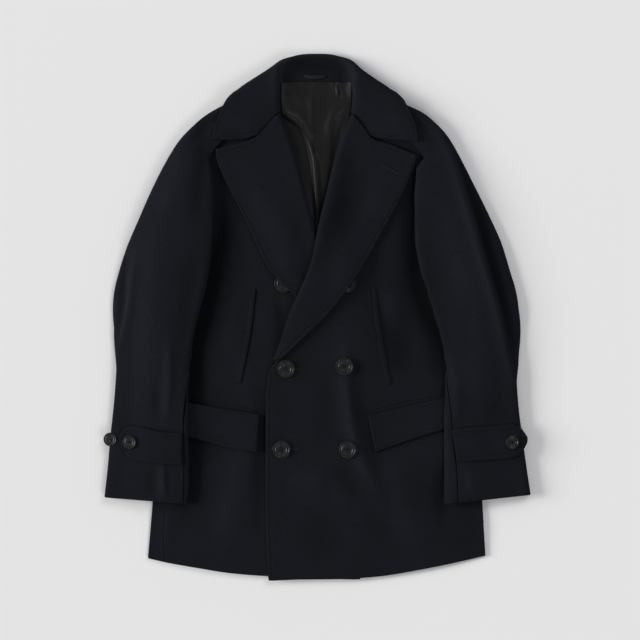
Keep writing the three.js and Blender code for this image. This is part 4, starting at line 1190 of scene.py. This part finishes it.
@dataclass
class Necks(ClothGroup):
    """The lapels with their facings, the collar and its loop."""

    lapel_cut: tuple[float, float] = (0.175, 0.430)
    lapel_area: float = 0.041
    collar_cut: tuple[float, float] = (0.530, 0.145)
    collar_area: float = 0.0385
    loop_cut: tuple[float, float] = (0.012, 0.045)
    loop_area: float = 0.0003
    loop_bow_mm: float = 1.6

    def pieces(self) -> list[ClothShell]:
        """Names the pieces with the sizes they are cut to.

        Returns:
            One shell for each piece.
        """
        lapels = [
            ClothShell(
                f"lapel_{side.label}", self.lapel_cut, self.lapel_area, (f"front_{side.label}",), Held.FOLDED,
                stitched=(LAPEL_OUTLINE[side],), gorges=(GORGES[side],), longest_mm=5.0,
            )
            for side in Side
        ]
        collar = ClothShell(
            "collar", self.collar_cut, self.collar_area, ("sleeve_front_left", "sleeve_front_right"),
            Held.FOLDED, stitched=tuple(COLLAR_OUTLINE.values()), gorges=tuple(GORGES.values()),
            longest_mm=5.0,
        )
        loop = ClothShell(
            "hanger_loop", self.loop_cut, self.loop_area, ("collar",), Held.FOLDED, TWILL, "tape",
            bow_mm=self.loop_bow_mm,
        )
        return [*lapels, collar, loop]


@dataclass
class Sleeves(ClothGroup):
    """Both pieces of each sleeve, with the cuff straps."""

    back_cut: tuple[float, float] = (0.290, 0.690)
    back_area: float = 0.080
    front_cut: tuple[float, float] = (0.300, 0.690)
    front_area: float = 0.085
    strap_cut: tuple[float, float] = (0.125, 0.060)
    strap_area: float = 0.0058

    def pieces(self) -> list[ClothShell]:
        """Names the pieces with the sizes they are cut to.

        Returns:
            One shell for each piece.
        """
        shells = []
        for side in Side:
            name = side.label
            shells += [
                ClothShell(f"sleeve_back_{name}", self.back_cut, self.back_area, (f"back_{name}",),
                           Held.FOLDED, longest_mm=4.5),
                ClothShell(f"sleeve_front_{name}", self.front_cut, self.front_area, (f"front_{name}",),
                           Held.FOLDED, longest_mm=4.5),
                ClothShell(f"cuff_strap_{name}", self.strap_cut, self.strap_area, (f"sleeve_front_{name}",),
                           stitched=(STRAP_OUTLINE[side],), rim_softness=0.93, rim_degrees=24.0),
            ]
        return shells


@dataclass
class Pockets(ClothGroup):
    """The flaps and the hand-warmer welts."""

    flap_cut: tuple[float, float] = (0.142, 0.062)
    flap_area: float = 0.0081
    welt_cut: tuple[float, float] = (0.012, 0.160)
    welt_area: float = 0.0013
    welt_sink_mm: float = 1.5

    def pieces(self) -> list[ClothShell]:
        """Names the pieces with the sizes they are cut to.

        Returns:
            One shell for each piece.
        """
        shells = []
        for side in Side:
            front = (f"front_{side.label}",)
            shells += [
                ClothShell(f"flap_{side.label}", self.flap_cut, self.flap_area, front,
                           stitched=(FLAP_OUTLINE[side],), rim_softness=0.9, rim_degrees=40.0),
                ClothShell(f"welt_{side.label}", self.welt_cut, self.welt_area, front, Held.FOLDED,
                           lift_mm=-self.welt_sink_mm),
            ]
        return shells


# Hard pieces


@dataclass
class ButtonModel:
    """A four-hole button with a raised rim, a groove and a ring, sewn on with crossed thread.

    Each step of the turned face is how far it goes in and how far it rises, as shares of the radius.
    """

    radius: float
    height: float
    hole_radius: float = 1.1
    hole_spread: float = 2.4
    steps: tuple[tuple[float, float], ...] = (
        (0.13, 0.0), (0.05, -0.075), (0.11, 0.0), (0.04, 0.035), (0.08, 0.0), (0.05, -0.05), (0.12, -0.015)
    )
    turned_edge: float = 0.24
    sharp_degrees: float = 20.0
    shade_degrees: float = 32.0
    cutter_depth: float = 0.02

    @property
    def dish(self) -> float:
        """How far the middle lies below the rim, in millimetres."""
        return -sum(rise for _, rise in self.steps) * self.radius

    def turn(self, name: str) -> bpy.types.Object:
        """Models the disc about the origin, resting on z 0.

        Args:
            name: the new object's name.

        Returns:
            The button, with its holes cut.
        """
        bpy.ops.object.select_all(action="DESELECT")
        bpy.ops.mesh.primitive_cylinder_add(
            vertices=64, radius=self.radius * MM, depth=self.height * MM,
            location=(0, 0, self.height * MM / 2),
        )
        disc = bpy.context.active_object
        disc.name = name
        bpy.ops.object.transform_apply(location=True, rotation=True, scale=True)
        bpy.ops.object.mode_set(mode="EDIT")
        bpy.ops.mesh.select_mode(type="FACE")
        self.select_top(disc)
        for inward, rise in self.steps:
            bpy.ops.mesh.inset(thickness=inward * self.radius * MM, depth=rise * self.radius * MM)
        bpy.ops.object.mode_set(mode="OBJECT")
        bevel = disc.modifiers.new("turned_edges", "BEVEL")
        bevel.width = self.turned_edge * MM
        bevel.segments = 3
        bevel.limit_method = "ANGLE"
        bevel.angle_limit = math.radians(self.sharp_degrees)
        apply_modifiers(disc)
        self.drill(disc)
        select_only(disc)
        bpy.ops.object.shade_smooth_by_angle(angle=math.radians(self.shade_degrees))
        return disc

    def select_top(self, disc: bpy.types.Object) -> None:
        """Selects the upper face of the disc in edit mode.

        Args:
            disc: the button's disc.
        """
        bm = bmesh.from_edit_mesh(disc.data)
        for face in bm.faces:
            face.select = face.normal.z > 0.9
        bmesh.update_edit_mesh(disc.data)

    def drill(self, disc: bpy.types.Object) -> None:
        """Cuts the four thread holes through the disc.

        Args:
            disc: the button's disc.
        """
        for place in self.hole_places():
            bpy.ops.object.select_all(action="DESELECT")
            bpy.ops.mesh.primitive_cylinder_add(
                vertices=16, radius=self.hole_radius * MM, depth=self.cutter_depth,
                location=(place.x, place.y, 0),
            )
            cutter = bpy.context.active_object
            cut = disc.modifiers.new("thread_hole", "BOOLEAN")
            cut.operation = "DIFFERENCE"
            cut.object = cutter
            apply_modifiers(disc)
            bpy.data.objects.remove(cutter, do_unlink=True)

    def hole_places(self) -> list[Vector]:
        """The centres of the holes in metres.

        Returns:
            Four places about the origin, at the height 0.
        """
        return [
            Vector((math.cos(math.radians(a)), math.sin(math.radians(a)), 0)) * self.hole_spread * MM
            for a in (45, 135, 225, 315)
        ]


def arched_yarn(start: Vector, end: Vector, rise: float, radius: float) -> bpy.types.Object:
    """A short yarn that arches from one point to another and dips in at both ends.

    Args:
        start: where the yarn comes up.
        end: where it goes down.
        rise: how far its middle stands proud, in metres.
        radius: the yarn's radius in metres.

    Returns:
        The yarn as a mesh object.
    """
    end_share = 0.05
    bpy.ops.object.select_all(action="DESELECT")
    middle = (start + end) / 2
    along = end - start
    bpy.ops.mesh.primitive_cylinder_add(vertices=8, radius=radius, depth=along.length, location=(0, 0, 0))
    yarn = bpy.context.active_object
    bpy.ops.object.mode_set(mode="EDIT")
    bpy.ops.mesh.select_all(action="SELECT")
    bpy.ops.mesh.bisect(plane_co=(0, 0, 0), plane_no=(0, 0, 1))
    bpy.ops.object.mode_set(mode="OBJECT")
    turn = along.to_track_quat("Z", "Y").to_matrix().to_4x4()
    yarn.data.transform(Matrix.Translation(middle) @ turn)
    for vertex in yarn.data.vertices:
        share = (vertex.co - start).dot(along) / along.length_squared
        vertex.co.z += rise * 4 * share * (1 - share)
        if not end_share <= share <= 1 - end_share:
            vertex.co.z -= rise
    return yarn


def join(objects: Sequence[bpy.types.Object], name: str) -> bpy.types.Object:
    """Joins objects into the first of them and names it.

    Args:
        objects: what is joined.
        name: the name of the whole and of its mesh.

    Returns:
        The first object, which now holds them all.
    """
    bpy.ops.object.select_all(action="DESELECT")
    for obj in objects:
        obj.select_set(True)
    bpy.context.view_layer.objects.active = objects[0]
    if len(objects) > 1:
        bpy.ops.object.join()
    objects[0].name = name
    objects[0].data.name = name
    return objects[0]


@dataclass(frozen=True)
class ButtonPlace:
    """Where a button is sewn: its node, the cloth beneath it and how far it has turned, in degrees."""

    node: str
    on: str | None
    turn: float


@dataclass
class Buttons:
    """The six front buttons and the three that show on the cuffs.

    A button is seated on the cloth's height on rings of places under it.
    """

    front: ButtonModel = field(default_factory=lambda: ButtonModel(14.0, 3.6))
    cuff: ButtonModel = field(default_factory=lambda: ButtonModel(10.75, 3.2, 0.9, 1.9))
    front_places: tuple[ButtonPlace, ...] = (
        ButtonPlace("button_front_right_top", "front_right", 8.0),
        ButtonPlace("button_front_left_top", "front_left", -14.0),
        ButtonPlace("button_front_edge_middle", "front_left", 31.0),
        ButtonPlace("button_front_left_middle", "front_left", 12.0),
        ButtonPlace("button_front_edge_bottom", "front_left", -24.0),
        ButtonPlace("button_front_left_bottom", "front_left", 40.0),
    )
    cuff_places: tuple[ButtonPlace, ...] = (
        ButtonPlace("button_cuff_right_inner", "cuff_strap_right", 5.0),
        ButtonPlace("button_cuff_right_outer", None, 22.0),
        ButtonPlace("button_cuff_left", "cuff_strap_left", -9.0),
    )
    seat_directions: int = 16
    seat_rings: tuple[float, float] = (0.5, 0.95)
    clear_mm: float = 0.15
    yarn_apart_mm: float = 0.35
    yarn_rise_mm: float = 0.5
    yarn_radius_mm: float = 0.33

    def build(self, shells: dict[str, bpy.types.Object]) -> None:
        """Models one button of each size and sets a copy on each place.

        Args:
            shells: the finished cloth pieces by node.
        """
        for model, places in ((self.front, self.front_places), (self.cuff, self.cuff_places)):
            pattern = model.turn("button_pattern")
            threads = self.sew(model)
            for spot in places:
                node = spot.node
                surface = Surface(shells[spot.on]) if spot.on else None
                turn = Matrix.Rotation(math.radians(spot.turn), 4, "Z")
                place = self.seat(node, model, surface) @ turn
                self.copy(pattern, f"{node}_disc", place, Horn(), "button", node)
                self.copy(threads, f"{node}_thread", place, Thread(), "tape")
            bpy.data.objects.remove(pattern, do_unlink=True)
            bpy.data.objects.remove(threads, do_unlink=True)

    def sew(self, model: ButtonModel) -> bpy.types.Object:
        """Makes the crossed thread through the four holes of a button.

        Args:
            model: the button's sizes.

        Returns:
            The four yarns as one object about the origin.
        """
        holes = model.hole_places()
        level = Vector((0, 0, (model.height - model.dish) * MM))
        yarns = []
        for start, end in ((holes[0], holes[2]), (holes[1], holes[3])):
            across = (end - start).cross(UP).normalized() * self.yarn_apart_mm * MM
            for shift in (-across, across):
                yarns.append(arched_yarn(start + level + shift, end + level + shift,
                                         self.yarn_rise_mm * MM, self.yarn_radius_mm * MM))
        return join(yarns, "thread_pattern")

    def seat(self, node: str, model: ButtonModel, surface: Surface | None) -> Matrix:
        """Finds how a button lies on the cloth.

        Args:
            node: the button's node, which gives its place.
            model: the button's sizes.
            surface: the cloth beneath, or None for the button that leans over the sleeve's edge.

        Returns:
            The matrix from the pattern to the button's place.
        """
        low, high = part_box(node)
        centre = (Vector(low) + Vector(high)) / 2
        samples = []
        for k in range(self.seat_directions if surface else 0):
            angle = k * math.tau / self.seat_directions
            for share in self.seat_rings:
                x = centre.x + model.radius * MM * share * math.cos(angle)
                y = centre.y + model.radius * MM * share * math.sin(angle)
                z = surface.height(x, y)
                if z is not None:
                    samples.append((x - centre.x, y - centre.y, z))
        if not samples:
            tilt = math.atan2(high[2] - low[2] - model.height * MM, 2 * model.radius * MM)
            return Matrix.Translation((centre.x, centre.y, low[2])) @ Matrix.Rotation(-tilt, 4, "Y")
        points = np.array(samples)
        plane = np.column_stack([points[:, :2], np.ones(len(points))])
        slope, _, _, _ = np.linalg.lstsq(plane, points[:, 2], rcond=None)
        above = points[:, 2] - points[:, :2] @ slope[:2]
        normal = Vector((-slope[0], -slope[1], 1.0)).normalized()
        turn = UP.rotation_difference(normal).to_matrix().to_4x4()
        return Matrix.Translation((centre.x, centre.y, above.max() + self.clear_mm * MM)) @ turn

    def copy(self, pattern: bpy.types.Object, name: str, place: Matrix, finish: Finish, slot: str,
             node: str | None = None) -> None:
        """Sets a copy of a pattern at its place, with its own mesh.

        Args:
            pattern: the modelled piece.
            name: the copy's name.
            place: where it goes.
            finish: its material.
            slot: the record's slot; not used.
            node: the solid that it replaces, if any.
        """
        mesh = pattern.data.copy()
        mesh.name = name
        mesh.transform(place)
        mesh.materials.clear()
        mesh.materials.append(finish.make())
        obj = bpy.data.objects.new(name, mesh)
        bpy.context.scene.collection.objects.link(obj)
        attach(obj, BODY)
        if node is not None:
            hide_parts(node)


@dataclass
class Stitching:
    """Rows of single stitches that lie in the pressed groove along the edges.

    The stitches are drawn longer than real ones, which come about every 3 mm.
    """

    pitch_mm: float = 3.8
    length_mm: float = 2.2
    radius_mm: float = 0.26
    outline_step_mm: float = 4.0
    steepest_mm: float = 1.2
    sides: int = 6
    profile: tuple[tuple[float, float], ...] = ((0.0, 0.45), (0.25, 1.0), (0.75, 1.0), (1.0, 0.45))

    def build(self, name: str, line: np.ndarray, surface: Surface) -> None:
        """Makes one row of stitches along a plan line.

        Args:
            name: the row's name.
            line: plan points that the row follows.
            surface: the cloth that it is sewn on.
        """
        points = rounded_line(line, self.pitch_mm)
        bm = bmesh.new()
        for a, b in zip(points[:-1], points[1:]):
            middle = (a + b) / 2
            along = (b - a) / np.linalg.norm(b - a)
            start = to_frame(middle - along * self.length_mm / 2)
            end = to_frame(middle + along * self.length_mm / 2)
            z0, z1 = surface.height(*start), surface.height(*end)
            if z0 is None or z1 is None or abs(z0 - z1) > self.steepest_mm * MM:
                continue
            self.stitch(bm, Vector((*start, z0)), Vector((*end, z1)))
        mesh = bpy.data.meshes.new(name)
        bm.to_mesh(mesh)
        bm.free()
        mesh.materials.append(Thread().make())
        for polygon in mesh.polygons:
            polygon.use_smooth = True
        obj = bpy.data.objects.new(name, mesh)
        bpy.context.scene.collection.objects.link(obj)
        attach(obj, BODY)

    def stitch(self, bm: bmesh.types.BMesh, start: Vector, end: Vector) -> None:
        """Adds one stitch: a small yarn that dips into the cloth at both ends.

        Args:
            bm: the mesh of the row.
            start: where the stitch begins on the cloth.
            end: where it ends.
        """
        sunk, lifted = 0.7, 0.9
        radius = self.radius_mm * MM
        along = (end - start).normalized()
        side = along.cross(UP).normalized()
        up = side.cross(along)
        rings = []
        for share, swell in self.profile:
            centre = start.lerp(end, share) + up * radius * (lifted * swell - sunk)
            ring = []
            for k in range(self.sides):
                angle = k * math.tau / self.sides
                out = side * math.cos(angle) + up * math.sin(angle)
                ring.append(bm.verts.new(centre + out * radius * swell))
            rings.append(ring)
        for low, high in zip(rings[:-1], rings[1:]):
            for k in range(self.sides):
                after = (k + 1) % self.sides
                bm.faces.new((low[k], low[after], high[after], high[k]))
        bm.faces.new(rings[0][::-1])
        bm.faces.new(rings[-1])

    def sew(self, shells: dict[str, bpy.types.Object]) -> None:
        """Sews every stitched edge of the coat.

        Args:
            shells: the finished cloth pieces by node.
        """
        for side in Side:
            name = side.label
            out = -side.value
            rows = (
                (f"stitches_lapel_{name}", LAPEL_OUTLINE[side], out, f"lapel_{name}"),
                (f"stitches_collar_{name}", COLLAR_OUTLINE[side], -out, "collar"),
                (f"stitches_flap_{name}", FLAP_OUTLINE[side][1:], -out, f"flap_{name}"),
                (f"stitches_strap_{name}", STRAP_OUTLINE[side], out, f"cuff_strap_{name}"),
            )
            for row, outline, way, piece in rows:
                line = inset_line(rounded_line(outline, self.outline_step_mm), way * STITCH_INSET_MM)
                self.build(row, line, Surface(shells[piece]))
        edge = inset_line(rounded_line(FRONT_EDGE[Side.LEFT], self.outline_step_mm), STITCH_INSET_MM)
        self.build("stitches_front_edge", edge, Surface(shells["front_left"]))


@dataclass
class Buttonhole:
    """A worked buttonhole: a dense bead of thread round a slit."""

    name: str
    start: tuple[float, float]
    end: tuple[float, float]
    on: str
    width_mm: float = 1.3
    bead_mm: float = 0.5
    lift_mm: float = 0.1

    def build(self, shells: dict[str, bpy.types.Object]) -> None:
        """Models the bead on its cloth.

        Args:
            shells: the finished cloth pieces by node.
        """
        start, end = (Vector((*to_frame(p), 0)) for p in (self.start, self.end))
        along = end - start
        bpy.ops.object.select_all(action="DESELECT")
        bpy.ops.mesh.primitive_torus_add(
            major_radius=self.width_mm / 2 * MM, minor_radius=self.bead_mm * MM,
            major_segments=28, minor_segments=8, location=(0, 0, 0),
        )
        bead = bpy.context.active_object
        bead.name = self.name
        half = along.length / 2
        for vertex in bead.data.vertices:
            vertex.co.x += math.copysign(half, vertex.co.x)
        turn = Matrix.Rotation(math.atan2(along.y, along.x), 4, "Z")
        bead.data.transform(Matrix.Translation((start + end) / 2) @ turn)
        bpy.ops.object.mode_set(mode="EDIT")
        bpy.ops.mesh.select_all(action="SELECT")
        bpy.ops.mesh.subdivide(number_cuts=3)
        bpy.ops.object.mode_set(mode="OBJECT")
        surface = Surface(shells[self.on])
        for vertex in bead.data.vertices:
            z = surface.height(vertex.co.x, vertex.co.y)
            vertex.co.z += (z or 0) + self.lift_mm * MM
        bead.data.materials.append(GIMP.make())
        bpy.ops.object.shade_smooth()
        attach(bead, BODY)


BUTTONHOLES = (
    Buttonhole("buttonhole_lapel", (104, 242), (130, 230), "lapel_left"),
    Buttonhole("buttonhole_front_middle", (-50, -82.4), (-26, -82.4), "front_left"),
    Buttonhole("buttonhole_front_bottom", (-56, -210.4), (-31, -210.4), "front_left"),
)


# Studio


@dataclass(frozen=True)
class Softbox:
    """A square light that faces the coat: its place and side in metres, its power in watts."""

    name: str
    place: tuple[float, float, float]
    size: float
    power: float
    colour: str

    def hang(self) -> None:
        """Adds the light."""
        lamp = bpy.data.lights.new(self.name, "AREA")
        lamp.size = self.size
        lamp.energy = self.power
        lamp.color = linear(self.colour)[:3]
        obj = bpy.data.objects.new(self.name, lamp)
        obj.location = self.place
        obj.rotation_euler = (-Vector(self.place)).to_track_quat("-Z", "Y").to_euler()
        bpy.context.scene.collection.objects.link(obj)


@dataclass
class Studio:
    """A pale table, soft light from the upper left and a long lens straight above."""

    lights: tuple[Softbox, ...] = (
        Softbox("key_window", (-16.0, 1.2, 6.5), 7.4, 3120.0, "#fffefd"),
        Softbox("head_softbox", (2.4, 3.4, 4.4), 2.4, 74.0, "#fdfdff"),
        Softbox("foot_softbox", (2.6, -3.8, 4.4), 2.4, 82.0, "#fdfdff"),
    )
    air_colour: str = "#f6f7fa"
    air_strength: float = 0.3
    table_side: float = 8.0
    table_below: float = 0.0002
    view_height: float = 5.0
    cloth_height: float = 0.012
    frame_width: float = 1.024
    sensor: float = 36.0
    centre: tuple[float, float] = (4.8, -4.0)

    def build(self) -> None:
        """Adds the table, the lights and the camera."""
        bpy.ops.object.select_all(action="DESELECT")
        bpy.ops.mesh.primitive_plane_add(size=self.table_side, location=(0, 0, -self.table_below))
        table = bpy.context.active_object
        table.name = "backdrop_table"
        table.data.materials.append(Paper().make())
        for light in self.lights:
            light.hang()
        world = bpy.data.worlds.new("studio_air")
        world.use_nodes = True
        air = world.node_tree.nodes["Background"]
        air.inputs["Color"].default_value = linear(self.air_colour)
        air.inputs["Strength"].default_value = self.air_strength
        bpy.context.scene.world = world
        bpy.context.scene.view_settings.view_transform = "Standard"
        self.camera()

    def camera(self) -> None:
        """Adds the camera straight above the coat."""
        lens = bpy.data.cameras.new("camera_above")
        lens.sensor_width = self.sensor
        lens.lens = self.sensor * (self.view_height - self.cloth_height) / self.frame_width
        obj = bpy.data.objects.new("camera_above", lens)
        obj.location = (*to_frame(self.centre), self.view_height)
        bpy.context.scene.collection.objects.link(obj)
        bpy.context.scene.camera = obj


def main() -> None:
    """Builds the coat's looks in order and reports each piece."""
    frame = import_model()
    drape = Drape(COAT_FOLDS, hem=HEM_LINE)
    shells: dict[str, bpy.types.Object] = {}
    for group in (Body(), Necks(), Sleeves(), Pockets()):
        group.build(frame, drape)
        shells.update(group.dress())
    Buttons().build(shells)
    LOG.info("buttons set")
    Stitching().sew(shells)
    for buttonhole in BUTTONHOLES:
        buttonhole.build(shells)
        LOG.info("%s worked", buttonhole.name)
    Studio().build()


if __name__ == "__main__":
    logging.basicConfig(level=logging.INFO, format="%(name)s: %(message)s")
    main()
